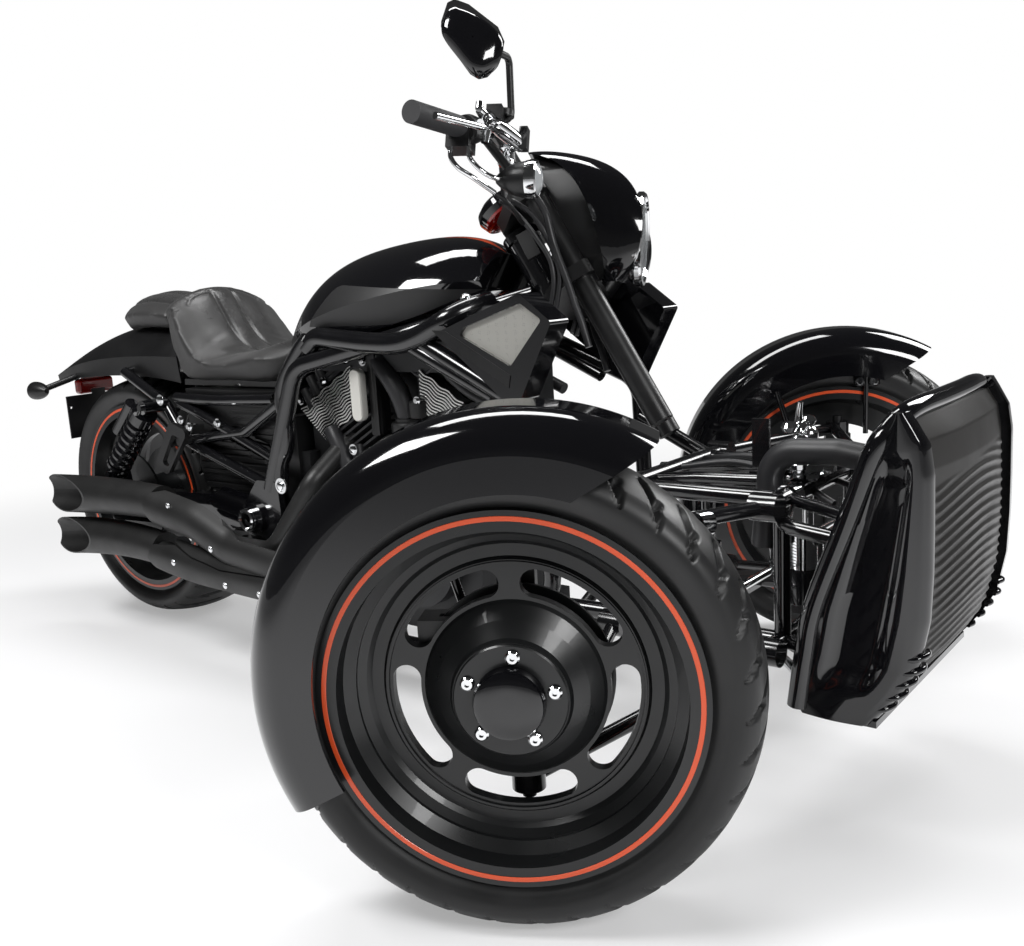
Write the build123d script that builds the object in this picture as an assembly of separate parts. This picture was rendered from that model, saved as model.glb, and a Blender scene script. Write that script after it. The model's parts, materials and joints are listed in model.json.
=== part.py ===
from build123d import *
import os
from math import cos, radians, sin

# Motorized trike with two steered wheels in front and one driven wheel behind.
# Millimetres. x is the vehicle's left, y runs back, z is up, and the ground is z = 0.
# Everything is placed from the rear axle (y = 0, forward is negative), and BOX_SHIFT
# moves the finished pieces so that y = 0 is the middle of the whole vehicle.
BOX_SHIFT = 859.5

# Chassis layout, as a chain of lengths from the rear axle forward
SWINGARM_LENGTH = 607.0
PIVOT_TO_CRANK = 373.0
CRANK_TO_HEAD = 295.0
HEAD_TO_AXLE = 365.0
TRACK = 1260.0
KINGPIN_OFFSET = 60.0
RAKE = 32.0
STEER_STOP = 30.0
STEER_Z = 870.0

# Running and standing clearances
PIN_CLEARANCE = 0.05
SEAT_GAP = 0.3

# Front tyres and wheels
FRONT_TYRE_R = 325.0
FRONT_TYRE_W = 150.0
BEAD_R = 232.0
FLANGE_R = 252.0
FLANGE_T = 7.0
RIM_WALL = 7.0
SPINDLE_R = 17.0
HUB_R = 47.0
DISC_PLATE_T = 11.0
SLOT_R = 145.0
SLOT_W = 38.0
SLOT_ARC = 46.0
SLOT_COUNT = 5
BRAKE_DISC_R = 130.0
BRAKE_DISC_T = 6.0
BRAKE_DISC_A = -33.0

# Rear tyre and wheel
REAR_TYRE_R = 325.0
REAR_TYRE_W = 240.0
REAR_AXLE_R = 12.5
REAR_HUB_HALF = 118.0

# Tubes
RAIL_R = 19.0
LOWER_RAIL_R = 16.0
STRUT_R = 13.0
RAIL_X = 190.0
LOWER_RAIL_X = 165.0
LOWER_RAIL_Z = 118.0

# Steering head and bars
STEM_R = 16.0
NECK_R = 32.0
NECK_LOW = -72.0
NECK_HIGH = 68.0
CLAMP_T = 26.0
CLAMP_GAP = 6.0
LEG_R = 22.0
LEG_LATERAL = 100.0
LEG_FORWARD = 60.0
LEG_TOP = 104.0
LEG_BOTTOM = -395.0
BAR_R = 13.0
GRIP_R = 18.0
GRIP_LENGTH = 128.0

# Front suspension
UPRIGHT_HALF = 150.0
ARM_EYE_R = 24.0
ARM_EYE_H = 26.0
ARM_R = 15.0
BALL_PIN_R = 10.0
STEER_ARM = 110.0
TIE_ROD_R = 8.0
TIE_EYE_H = 18.0
TIE_EYE_R = 17.0
TIE_PIN_R = 6.0
TIE_LOW_Z = 322.0
OPEN_PIVOT_GAP = 1.0

# Power unit
CRANK_Z = 350.0
BANK_ANGLE = 30.0
ENGINE_HALF_W = 125.0
FIN_COUNT = 9
FIN_T = 5.0
FIN_PITCH = 15.0

# Swingarm, shocks and belt
ARM_IN = 150.0
ARM_OUT = 180.0
PIVOT_Z = 354.0
PIVOT_R = 14.0
ARM_END_R = 42.0
SHOCK_X = 205.0
SHOCK_TOP = (-232.0, 591.0)
SHOCK_LOW = (-52.0, 417.0)
SHOCK_EYE_R = 17.0
SHOCK_PIN_R = 8.0
SPRING_R = 31.0
BELT_X = 134.0
BELT_W = 24.0
BELT_T = 5.0
PULLEY_REAR_R = 106.0
PULLEY_FRONT_R = 52.0
SHEAVE_AHEAD = 7.0
SHEAVE_Z = 330.0

# Wheel faces, measured along the axle from each wheel's middle
FRONT_SEAT_HALF = 60.0
REAR_SEAT_HALF = 103.0
PLATE_A = 5.0
HUB_FACE_A = 50.0
HUB_BACK_A = -46.0
CAP_A = 74.0
SLOT_START = -18.0
REAR_PLATE_A = -4.0
REAR_DISC_X = -128.0

# Fenders
FENDER_CLEAR = 31.0
FENDER_T = 5.0
FENDER_HALF_W = 88.0
FENDER_CORNER = 56.0
FENDER_DROP = 94.0
FENDER_AHEAD = 14.0
FENDER_RISE = 14.0
TAIL_WALL = 5.0

# Plate bracket
PLATE_HOLE_SPACING = 177.8
PLATE_HOLE_R = 3.5

# Exhaust
HEADER_R = 22.0
MUFFLER_R = 41.0
MUFFLER_WALL = 3.0
SHIELD_GAP = 4.0
SHIELD_T = 3.0

# Front cross frame
ARM_IN_X = 200.0
ARM_REAR_Y = 90.0
ARM_FRONT_Y = -190.0
TOP_ARM_RISE = 165.0
LOW_ARM_DROP = 63.0
CROSS_R = 16.0
POST_X = 145.0
TOWER_AHEAD = 172.0
STAY_R = 6.5

# Radiator surround
SHROUD_HALF = 240.0
SHROUD_SIDE_T = 42.0
SHROUD_AHEAD = 330.0
SHROUD_RIM_R = 15.0
RIB_COUNT = 20
RIB_PITCH = 15.0
RIB_H = 3.5

# Lamp cowl
LAMP_Z = 918.0
LAMP_R = 82.0
COWL_WALL = 5.0

# Worked out
PIVOT_Y = -SWINGARM_LENGTH
SHEAVE_Y = PIVOT_Y + SHEAVE_AHEAD
CRANK_Y = PIVOT_Y - PIVOT_TO_CRANK
STEER_Y = CRANK_Y - CRANK_TO_HEAD
FRONT_Y = STEER_Y - HEAD_TO_AXLE
WHEEL_X = TRACK / 2
KINGPIN_X = WHEEL_X - KINGPIN_OFFSET
AXLE_Z = FRONT_TYRE_R
TOP_ARM_Z = AXLE_Z + TOP_ARM_RISE
LOW_ARM_Z = AXLE_Z - LOW_ARM_DROP
TOWER_Y = FRONT_Y - TOWER_AHEAD
RELAY_LOW = TIE_LOW_Z - TIE_EYE_H / 2 - 15.0
STAY_X = KINGPIN_X - 14.0 - STAY_R - SEAT_GAP
SHOCK_BACK = -SHOCK_X + 18.0
RAIL_MOUNT_X = LOWER_RAIL_X - 25.0
NOSE_HALF = SHROUD_HALF - SHROUD_SIDE_T - SEAT_GAP
SHROUD_Y = FRONT_Y - SHROUD_AHEAD
STEM_DIR = Vector(0, sin(radians(RAKE)), cos(radians(RAKE)))
FORWARD_DIR = Vector(0, -cos(radians(RAKE)), sin(radians(RAKE)))
STEER_ORIGIN = Vector(0, STEER_Y, STEER_Z)
STEER_AXIS = Axis(STEER_ORIGIN, STEM_DIR)

NODES = {}


def add(name, shape):
    """Keep a finished piece under its node name."""
    NODES[name] = shape


def both(shape):
    """The right-hand shape and its mirror image on the left."""
    return shape + mirror(shape, about=Plane.YZ)


def rod(start, end, radius, bore=0.0):
    """Straight round bar or tube between two points."""
    start, end = Vector(*start), Vector(*end)
    run = end - start
    section = Circle(radius)
    if bore:
        section -= Circle(bore)
    return extrude(Plane(origin=start, z_dir=run) * section, run.length)


def bent_tube(points, radius, bend):
    """Round tube along straight runs joined by arcs."""
    path = FilletPolyline(*[tuple(p) for p in points], radius=bend)
    return sweep(Plane(origin=path @ 0, z_dir=path % 0) * Circle(radius), path)


def block(size, centre, edge=0.0):
    """Block with its upright and level edges rounded."""
    solid = Pos(*centre) * Box(*size)
    if edge:
        solid = fillet(solid.edges(), edge)
    return solid


def side_plate(points, x_low, x_high, corner=0.0):
    """Plate cut to a side outline of (y, z) points, between two x values."""
    face = make_face(Polyline(*[(y, z) for y, z in points], close=True))
    if corner:
        face = fillet(face.vertices(), corner)
    return Pos(x_low, 0, 0) * extrude(Plane.YZ * face, x_high - x_low)


def disc(radius, x_low, x_high, y=0.0, z=0.0, bore=0.0):
    """Round disc across the vehicle."""
    return rod((x_low, y, z), (x_high, y, z), radius, bore)


def steer_point(lateral, forward, along):
    """Point given beside, ahead of and along the steering axis."""
    return Vector(lateral, 0, 0) + STEER_ORIGIN + FORWARD_DIR * forward + STEM_DIR * along


def steered(shape):
    """Turn a piece of the handlebar group onto the left steering stop."""
    return shape.rotate(STEER_AXIS, STEER_STOP)


def kingpin_turned(shape, side):
    """Turn a piece of one front wheel group onto the left steering stop."""
    return shape.rotate(Axis((side * KINGPIN_X, FRONT_Y, 0), (0, 0, 1)), STEER_STOP)


# Wheels and tyres

def tyre(radius, width, half_seat):
    """Closed ring with a rounded crown and sidewalls that bulge past the rim."""
    half = width / 2
    shoulder = radius - 15.0
    side = (BEAD_R + radius) / 2 + 8.0
    edge = Polyline(
        (half, side),
        (half_seat, FLANGE_R + 1.0),
        (half_seat, BEAD_R),
        (-half_seat, BEAD_R),
        (-half_seat, FLANGE_R + 1.0),
        (-half, side),
    )
    right_shoulder = ThreePointArc((half, side), (half - 4.0, (side + shoulder) / 2 + 4.0), (half * 0.8, shoulder))
    crown = ThreePointArc((half * 0.8, shoulder), (0, radius), (-half * 0.8, shoulder))
    left_shoulder = ThreePointArc((-half * 0.8, shoulder), (4.0 - half, (side + shoulder) / 2 + 4.0), (-half, side))
    return revolve(make_face(edge + right_shoulder + crown + left_shoulder), Axis.X)


def rim(half_seat, hub_low, hub_high, plate_a, bore, cap):
    """Deep dish wheel: barrel, stepped slotted disc, hub dome and hub barrel, about x."""
    lip = half_seat + FLANGE_T
    drop = BEAD_R - 14.0
    barrel = [
        (lip, FLANGE_R),
        (half_seat, FLANGE_R),
        (half_seat, BEAD_R),
        (half_seat * 0.6, BEAD_R),
        (half_seat * 0.4, drop),
        (-half_seat * 0.4, drop),
        (-half_seat * 0.6, BEAD_R),
        (-half_seat, BEAD_R),
        (-half_seat, FLANGE_R),
        (-lip, FLANGE_R),
        (-lip, BEAD_R - RIM_WALL),
        (-half_seat * 0.6, BEAD_R - RIM_WALL),
        (-half_seat * 0.4, drop - RIM_WALL),
        (half_seat * 0.4, drop - RIM_WALL),
        (half_seat * 0.6, BEAD_R - RIM_WALL),
        (lip, BEAD_R - RIM_WALL),
    ]
    back = plate_a - DISC_PLATE_T
    plate = [
        (hub_low, bore),
        (hub_low, HUB_R),
        (back, HUB_R + 12.0),
        (back, drop - RIM_WALL + 2.0),
        (plate_a + 14.0, drop - RIM_WALL + 2.0),
        (plate_a + 6.0, 200.0),
        (plate_a, 194.0),
        (plate_a, 178.0),
        (plate_a + 5.0, 174.0),
        (plate_a + 5.0, 121.0),
        (plate_a + 10.0, 117.0),
        (plate_a + 24.0, 100.0),
        (plate_a + 38.0, 80.0),
        (hub_high, 76.0),
        (hub_high, bore),
    ]
    wheel = revolve(make_face(Polyline(*barrel, close=True)), Axis.X)
    wheel += revolve(make_face(Polyline(*plate, close=True)), Axis.X)
    if cap:
        dome = [(hub_high - 12.0, 0), (hub_high - 12.0, 46.0), (cap - 10.0, 46.0), (cap - 3.0, 38.0), (cap, 24.0), (cap, 0)]
        wheel += revolve(make_face(Polyline(*dome, close=True)), Axis.X)
    for index in range(SLOT_COUNT):
        wheel -= kidney_slot(index * 360.0 / SLOT_COUNT + SLOT_START, back - 5.0, plate_a + 12.0)
    return wheel


def kidney_slot(angle, x_low, x_high):
    """Cutter for one curved slot with round ends."""
    ring = Circle(SLOT_R + SLOT_W / 2) - Circle(SLOT_R - SLOT_W / 2)
    reach = 2 * SLOT_R
    half = radians(SLOT_ARC / 2)
    wedge = make_face(Polyline((0, 0), (reach * cos(half), reach * sin(half)), (reach * cos(half), -reach * sin(half)), close=True))
    face = ring & wedge
    for sign in (-1, 1):
        face += Pos(SLOT_R * cos(half), sign * SLOT_R * sin(half)) * Circle(SLOT_W / 2)
    cutter = extrude(Plane.YZ * (Rot(0, 0, angle) * face), x_high - x_low)
    return Pos(x_low, 0, 0) * cutter




def front_wheels():
    """Both front wheels, outboard side away from the centre, turned with the steering."""
    tyre_ring = tyre(FRONT_TYRE_R, FRONT_TYRE_W, FRONT_SEAT_HALF)
    wheel = rim(FRONT_SEAT_HALF, HUB_BACK_A, HUB_FACE_A, PLATE_A, SPINDLE_R + PIN_CLEARANCE, CAP_A)
    carrier = disc(BRAKE_DISC_R, BRAKE_DISC_A - BRAKE_DISC_T / 2, BRAKE_DISC_A + BRAKE_DISC_T / 2, bore=SPINDLE_R + 8.0)
    wheel += carrier
    for side, name in ((-1, "right"), (1, "left")):
        for solid, node in ((tyre_ring, "tyre"), (wheel, "wheel")):
            placed = solid if side == 1 else mirror(solid, about=Plane.YZ)
            placed = Pos(side * WHEEL_X, FRONT_Y, AXLE_Z) * placed
            add(f"{node}_front_{name}", kingpin_turned(placed, side))




def rear_wheel():
    """Rear wheel with the belt pulley on its left and the brake disc on its right."""
    add("tyre_rear", Pos(0, 0, REAR_TYRE_R) * tyre(REAR_TYRE_R, REAR_TYRE_W, REAR_SEAT_HALF))
    wheel = rim(REAR_SEAT_HALF, -REAR_HUB_HALF, REAR_HUB_HALF, REAR_PLATE_A, REAR_AXLE_R + PIN_CLEARANCE, 0)
    pulley = disc(PULLEY_REAR_R, REAR_HUB_HALF, BELT_X + BELT_W / 2, bore=REAR_AXLE_R + PIN_CLEARANCE)
    brake = disc(BRAKE_DISC_R, REAR_DISC_X - 3.0, REAR_DISC_X + 3.0, bore=REAR_AXLE_R + PIN_CLEARANCE)
    hub_end = disc(HUB_R, REAR_DISC_X - 3.0, -REAR_HUB_HALF, bore=REAR_AXLE_R + PIN_CLEARANCE)
    add("wheel_rear", Pos(0, 0, REAR_TYRE_R) * (wheel + pulley + brake + hub_end))




def swingarm():
    """Two polished arms, their cross tube, the axle they clamp and the shock lugs."""
    outline = [(PIVOT_Y, PIVOT_Z + ARM_END_R), (PIVOT_Y, PIVOT_Z - ARM_END_R), (0, REAR_TYRE_R - ARM_END_R), (0, REAR_TYRE_R + ARM_END_R)]
    arm = side_plate(outline, -ARM_OUT, -ARM_IN)
    arm += disc(ARM_END_R, -ARM_OUT, -ARM_IN, PIVOT_Y, PIVOT_Z)
    arm += disc(ARM_END_R + 6.0, -ARM_OUT, -ARM_IN, 0, REAR_TYRE_R)
    lug_base = REAR_TYRE_R + 20.0
    lug = [(SHOCK_LOW[0] - 34, lug_base), (SHOCK_LOW[0] + 34, lug_base), (SHOCK_LOW[0] + 14, SHOCK_LOW[1] + 14), (SHOCK_LOW[0] - 14, SHOCK_LOW[1] + 14)]
    arm += side_plate(lug, SHOCK_BACK, SHOCK_BACK + 14.0)
    arm += disc(SHOCK_PIN_R, -SHOCK_X - 24.0, SHOCK_BACK + 5, *SHOCK_LOW)
    arm -= disc(REAR_AXLE_R + PIN_CLEARANCE, -ARM_OUT - 1, -ARM_IN + 1, 0, REAR_TYRE_R)
    arm -= disc(PIVOT_R + PIN_CLEARANCE, -ARM_OUT - 1, -ARM_IN + 1, PIVOT_Y, PIVOT_Z)
    cross = rod((-ARM_IN - 5, PIVOT_Y + 120.0, PIVOT_Z - 5), (ARM_IN + 5, PIVOT_Y + 120.0, PIVOT_Z - 5), 28.0)
    add("swingarm", arm + mirror(arm, about=Plane.YZ) + cross)
    axle = disc(REAR_AXLE_R, -ARM_OUT - 16, ARM_OUT + 16, 0, REAR_TYRE_R)
    for side in (-1, 1):
        nut = Pos(side * (ARM_OUT + 8), 0, REAR_TYRE_R) * Rot(0, 90, 0) * extrude(RegularPolygon(21, 6), 7, both=True)
        axle += nut
    add("rear_axle", axle)




def rear_shocks():
    """Coil-over shocks with a gas canister, one each side."""
    low = Vector(-SHOCK_X, *SHOCK_LOW)
    top = Vector(-SHOCK_X, *SHOCK_TOP)
    run = (top - low).normalized()
    length = (top - low).length
    profile = [(0, 10.0), (17.0, 10.0), (17.0, 30.0), (SPRING_R, 30.0), (SPRING_R, 38.0), (22.0, 38.0)]
    coils = 7
    pitch = (length - 92.0) / coils
    for index in range(coils):
        base = 41.0 + pitch * index
        profile += [(22.0, base), (SPRING_R - 1, base + pitch * 0.2), (SPRING_R - 1, base + pitch * 0.5), (22.0, base + pitch * 0.7)]
    high = length - 20.0
    profile += [(22.0, length - 48.0), (SPRING_R, length - 48.0), (SPRING_R, high), (17.0, high), (17.0, length - 10.0), (0, length - 10.0)]
    section = Plane(origin=low, x_dir=(1, 0, 0), z_dir=Vector(1, 0, 0).cross(run)) * make_face(Polyline(*profile, close=True))
    shock = revolve(section, Axis(low, run))
    canister = Vector(0, 52.0, 18.0)
    shock += rod(top + canister - run * 16, top + canister - run * 120, 17.0)
    shock += rod(top - run * 32, top + canister - run * 32, 10.0)
    for end in (low, top):
        shock += disc(SHOCK_EYE_R, end.X - 16.0, end.X + 17.5, end.Y, end.Z)
        shock -= disc(SHOCK_PIN_R + PIN_CLEARANCE, end.X - 30.0, end.X + 30.0, end.Y, end.Z)
    add("rear_shocks", both(shock))


# Frame

UPPER_RAIL = [
    (-42, STEER_Y - 21, STEER_Z - 55),
    (-150, STEER_Y + 215, 752),
    (-RAIL_X, PIVOT_Y - 163, 690),
    (-RAIL_X, PIVOT_Y - 48, 420),
]
LOWER_RAIL = [
    (-172, STEER_Y + 145, 735),
    (-194, STEER_Y - 97, 628),
    (-LOWER_RAIL_X, STEER_Y - 125, 300),
    (-LOWER_RAIL_X, STEER_Y - 15, LOWER_RAIL_Z),
    (-LOWER_RAIL_X, PIVOT_Y - 153, LOWER_RAIL_Z),
    (-LOWER_RAIL_X, PIVOT_Y - 43, 262),
]


def frame():
    """Steering neck, perimeter rails, lower cradle, struts and pivot plates."""
    neck = rod(steer_point(0, 0, NECK_LOW), steer_point(0, 0, NECK_HIGH), NECK_R)
    bore = rod(steer_point(0, 0, NECK_LOW - 5), steer_point(0, 0, NECK_HIGH + 5), STEM_R + PIN_CLEARANCE)
    for end in (NECK_LOW + 8, NECK_HIGH - 8):
        neck += rod(steer_point(0, 0, end - 8), steer_point(0, 0, end + 8), NECK_R + 5)
    add("steering_neck", neck - bore)
    upper = bent_tube(UPPER_RAIL, RAIL_R, [260, 70]) - neck
    pivot_plate = side_plate([(-690, 440), (-620, 440), (-560, 372), (-572, 318), (-640, 236), (-700, 262)], -RAIL_X - 14, -RAIL_X + 2, 14)
    pivot_hub = disc(34.0, -RAIL_X - 24, -ARM_OUT - 1.0, PIVOT_Y, PIVOT_Z)
    upper += pivot_plate + pivot_hub
    upper -= disc(PIVOT_R + PIN_CLEARANCE, -RAIL_X - 40, -ARM_OUT + 5, PIVOT_Y, PIVOT_Z)
    add("frame_upper_rails", both(upper))
    lower = bent_tube(LOWER_RAIL, LOWER_RAIL_R, [60, 90, 90, 70])
    lower -= neck + upper
    add("frame_lower_rails", both(lower))
    seat_rail = bent_tube([(-RAIL_X, -735, 625), (-172, -560, 540), (-160, -309, 506), (-152, -232, 591), (-148, -60, 668)], STRUT_R, [60, 60, 40])
    low_strut = rod((-160, -309, 506), (-RAIL_X, -668, 420), STRUT_R)
    lug = disc(16, SHOCK_BACK, SHOCK_BACK + 32, *SHOCK_TOP)
    lug += disc(SHOCK_PIN_R, -SHOCK_X - 24, SHOCK_BACK + 5, *SHOCK_TOP)
    pan = block((118, 370, 14), (-59.5, -455, 643)) + rod((-160, -304, 508), (-100, -304, 636), STRUT_R - 3)
    pan -= Pos(0, 0, -SEAT_GAP) * seat_form()
    boss = disc(11, -140, -115, -60, 668) - tail_form()
    struts = (seat_rail + low_strut + lug + pan + boss) - upper - lower
    add("frame_struts", both(struts))
    pivot = disc(PIVOT_R, -RAIL_X - 30, RAIL_X + 30, PIVOT_Y, PIVOT_Z)
    for side in (-1, 1):
        pivot += disc(26.0, side * (RAIL_X + 24), side * (RAIL_X + 38), PIVOT_Y, PIVOT_Z)
    add("pivot_shaft", pivot)
    return upper, lower, struts


# Power unit



def engine():
    """Crankcase as one plain block with its round covers, and two finned cylinders."""
    case = side_plate([(-1190, 190), (-1150, 140), (-780, 140), (-700, 210), (-690, 330), (-760, 420), (-1120, 470), (-1200, 400)], -ENGINE_HALF_W, ENGINE_HALF_W, 25)
    for side in (-1, 1):
        case += disc(112, side * ENGINE_HALF_W, side * (ENGINE_HALF_W + 34), CRANK_Y - 60, CRANK_Z - 40)
        case += disc(84, side * ENGINE_HALF_W, side * (ENGINE_HALF_W + 26), CRANK_Y + 130, CRANK_Z - 30)
    for y in (-1150, -810):
        case += both(block((90, 60, 34), (-RAIL_MOUNT_X, y, LOWER_RAIL_Z + LOWER_RAIL_R + SEAT_GAP + 17)))
    add("engine_case", case)
    cylinders = Part()
    for lean in (-BANK_ANGLE, BANK_ANGLE):
        bank = Pos(0, CRANK_Y, CRANK_Z) * Rot(-lean, 0, 0)
        cylinder = Pos(0, 0, 205) * Box(150, 110, 190)
        for index in range(FIN_COUNT):
            fin = fillet(Box(236, 150, FIN_T).edges().filter_by(Axis.Z), 20)
            cylinder += Pos(0, 0, 150 + FIN_PITCH * index) * fin
        head = fillet((Pos(0, 0, 322) * Box(190, 140, 84)).edges(), 16)
        cylinders += bank * (cylinder + head)
    cylinders -= case
    add("engine_cylinders", cylinders)
    return case, cylinders


# Covers, seat and rear end

TANK_SECTIONS = [
    # y, bottom z, side z, top z, half width at the bottom, half width at the side
    (-1206, 826, 848, 894, 80, 92),
    (-1080, 786, 838, 936, 140, 162),
    (-900, 744, 806, 924, 160, 184),
    (-760, 716, 768, 878, 142, 160),
    (-674, 702, 724, 778, 96, 112),
]


def arched_section(y, bottom, side, top, half_low, half_side):
    """Cross-section with sloping sides and a round top, at one y."""
    low = Line((-half_low, bottom), (half_low, bottom))
    right = Line((half_low, bottom), (half_side, side))
    crown = ThreePointArc((half_side, side), (0, top), (-half_side, side))
    left = Line((-half_side, side), (-half_low, bottom))
    face = make_face(low + right + crown + left)
    return Plane(origin=(0, y, 0), x_dir=(1, 0, 0), z_dir=(0, -1, 0)) * face


def covers(upper, lower, struts):
    """Tank and airbox cover, side intakes with grilles, ribbed side covers."""
    tank = loft([arched_section(*row) for row in TANK_SECTIONS])
    rail_space = both(bent_tube(UPPER_RAIL, RAIL_R + SEAT_GAP, [260, 70]))
    tank += both(block((36, 40, 30), (-158, -900, 742)))
    add("tank_cover", tank - rail_space)
    intake_outline = [(-1196, 758), (-1392, 824), (-1458, 774), (-1384, 640), (-1346, 640)]
    cover = side_plate(intake_outline, -214, -160, 8)
    opening = [(-1253, 754), (-1266, 768), (-1394, 807), (-1438, 778), (-1366, 699)]
    cover -= side_plate(opening, -224, -198, 5) + lower + upper
    add("intake_covers", both(cover))
    grille = side_plate(opening, -206, -198, 5)
    holes = Part()
    for row in range(9):
        for column in range(9):
            holes += Pos(-202, -1432 + 20 * column, 705 + 13 * row) * Box(12, 13, 8)
    inner = side_plate([(-1264, 755), (-1273, 762), (-1392, 799), (-1429, 776), (-1366, 708)], -210, -190, 3)
    add("intake_grilles", both(grille - (holes & inner)))
    panel = side_plate([(-390, 585), (-560, 600), (-650, 560), (-640, 440), (-560, 430), (-400, 500)], -140, -128, 14)
    for index in range(5):
        rib = rod((-140, -630 + 14 * index, 455 + 24 * index), (-140, -420, 490 + 20 * index), 4)
        panel += rib
    panel += disc(9, -168, -136, -560, 540)
    add("side_covers", both(panel - struts))


SEAT_SECTIONS = [
    # y, bottom z, side z, top z, half width at the bottom, half width at the side
    (-670, 690, 716, 752, 84, 98),
    (-600, 650, 704, 742, 130, 150),
    (-450, 650, 690, 716, 140, 166),
    (-340, 650, 752, 796, 142, 166),
    (-290, 658, 816, 862, 132, 150),
    (-240, 668, 812, 852, 122, 136),
]
PILLION_SECTIONS = [
    (-215, 768, 800, 846, 92, 116),
    (-110, 776, 812, 864, 98, 120),
    (5, 766, 800, 850, 74, 96),
]


def seat_form():
    """Solid of the bucket seat."""
    return loft([arched_section(*row) for row in SEAT_SECTIONS])


def tail_form():
    """Solid inside and including the tail fender's outer skin."""
    return loft([arched_section(*row) for row in TAIL_SECTIONS])


def seats():
    """Bucket seat and pillion pad, as closed forms."""
    add("seat", seat_form() - tail_form())
    pad = loft([arched_section(*row) for row in PILLION_SECTIONS])
    add("pillion_pad", pad - tail_form())


def fender_face(radius, half_width, corner, low):
    """Half of a cross-section seen along the tyre: straight sides and a rounded crown."""
    face = make_face(
        Polyline(
            (-half_width - 5, low),
            (-half_width, radius),
            (half_width, radius),
            (half_width + 5, low),
            close=True,
        )
    )
    return fillet(face.vertices().sort_by(Axis.Y)[-2:], corner)


def fender_shell(start, end):
    """Front fender about x, open below and cut slanting at its front end."""
    crown = FRONT_TYRE_R + FENDER_CLEAR
    low = crown - FENDER_DROP
    outer = fender_face(crown + FENDER_T, FENDER_HALF_W, FENDER_CORNER, low)
    inner = fender_face(crown, FENDER_HALF_W - FENDER_T, FENDER_CORNER - FENDER_T, low - 20.0)
    shell = revolve(outer - inner, Axis.X, end - start).rotate(Axis.X, start)
    slant = [(-192, 316), (-58, 238), (-50, 120), (-420, 120), (-420, 316)]
    return shell - side_plate(slant, -200, 200)


TAIL_SECTIONS = [
    # y, bottom z, side z, top z, half width at the bottom, half width at the side
    (-262, 640, 704, 772, 124, 130),
    (-20, 656, 704, 782, 128, 131),
    (200, 646, 684, 738, 118, 121),
    (372, 634, 648, 668, 92, 94),
]


def rear_end():
    """Tail fender with its lamp, side reflectors, plate bracket and turn signals."""
    outer = tail_form()
    hollow = []
    for row, inset in zip(TAIL_SECTIONS, (0, 0, 0, -TAIL_WALL)):
        y, bottom, side, top, half_low, half_side = row
        hollow.append((y + inset, bottom - 30, side - TAIL_WALL, top - TAIL_WALL, half_low - TAIL_WALL, half_side - TAIL_WALL))
    inner = loft([arched_section(*row) for row in hollow])
    add("rear_fender", outer - inner)
    lamp = block((110, 30, 44), (0, 352, 610), 10)
    lamp += block((60, 24, 40), (0, 354.7, 640))
    add("tail_lamp", lamp - (outer - inner))
    bracket = block((200, 5, 120), (0, 334.2, 528))
    bracket += block((40, 5, 20), (0, 334.2, 590))
    for side in (-1, 1):
        bracket -= rod((side * PLATE_HOLE_SPACING / 2, 320, 555), (side * PLATE_HOLE_SPACING / 2, 350, 555), PLATE_HOLE_R)
    add("plate_bracket", bracket)
    signal = rear_signal()
    add("rear_signals", both(signal) - (outer - inner))
    return outer




def rear_signal():
    """Bullet lamp on a short stalk, right side."""
    body = turned_bullet(24, 58)
    body = body.rotate(Axis.X, -90)
    stalk = rod((-100, 238, 652), (-222, 238, 622), 8)
    return Pos(-222, 262, 622) * body + stalk


def turned_bullet(radius, length):
    """Bullet shape pointing down -z from a flat face at z = 0."""
    profile = make_face(
        Line((0, 0), (radius, 0))
        + ThreePointArc((radius, 0), (radius * 0.86, -length * 0.5), (6, -length))
        + Line((6, -length), (0, -length))
        + Line((0, -length), (0, 0))
    )
    return revolve(Plane.XZ * profile, Axis.Z)


# Exhaust and foot controls



UPPER_MUFFLER = [
    # x, y, z, radius, outward turn in degrees
    (-258, -330, 374, 40, 0),
    (-260, -140, 373, 45, 2),
    (-268, 20, 368, 48, 10),
    (-300, 160, 366, 49, 18),
]
LOWER_MUFFLER = [
    (-252, -312, 257, 40, 0),
    (-253, -130, 264, 44, 2),
    (-262, 20, 258, 47, 10),
    (-294, 160, 248, 48, 18),
]
MUFFLER_CUT = 80.0
MUFFLER_CUT_Y = 92.0
UPPER_RUN = [(-315, 370), (-480, 345), (-600, 300), (-760, 284), (-900, 276)]
LOWER_RUN = [(-298, 258), (-400, 248), (-531, 234), (-707, 230), (-900, 228)]
UPPER_SHIELD = [
    (-318, 376), (-330, 404), (-400, 414), (-477, 412), (-529, 391), (-585, 351), (-650, 327),
    (-774, 316), (-880, 312), (-880, 258), (-758, 258), (-585, 254), (-477, 269), (-404, 289), (-336, 318),
]
LOWER_SHIELD = [
    (-314, 250), (-330, 282), (-404, 286), (-477, 266), (-585, 251), (-758, 255), (-880, 255),
    (-880, 204), (-707, 203), (-531, 206), (-397, 205), (-330, 224),
]


def muffler_form(table, wall):
    """Loft through the round sections of one muffler, thinner by a wall."""
    sections = []
    for x, y, z, radius, turn in table:
        heading = Vector(-sin(radians(turn)), cos(radians(turn)), 0)
        sections.append(Plane(origin=(x, y, z), z_dir=heading) * Circle(radius - wall))
    return loft(sections)


def run_points(run):
    """Points of a pipe run behind the shields, at the mufflers' x."""
    return [(UPPER_MUFFLER[0][0], y, z) for y, z in run]


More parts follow.
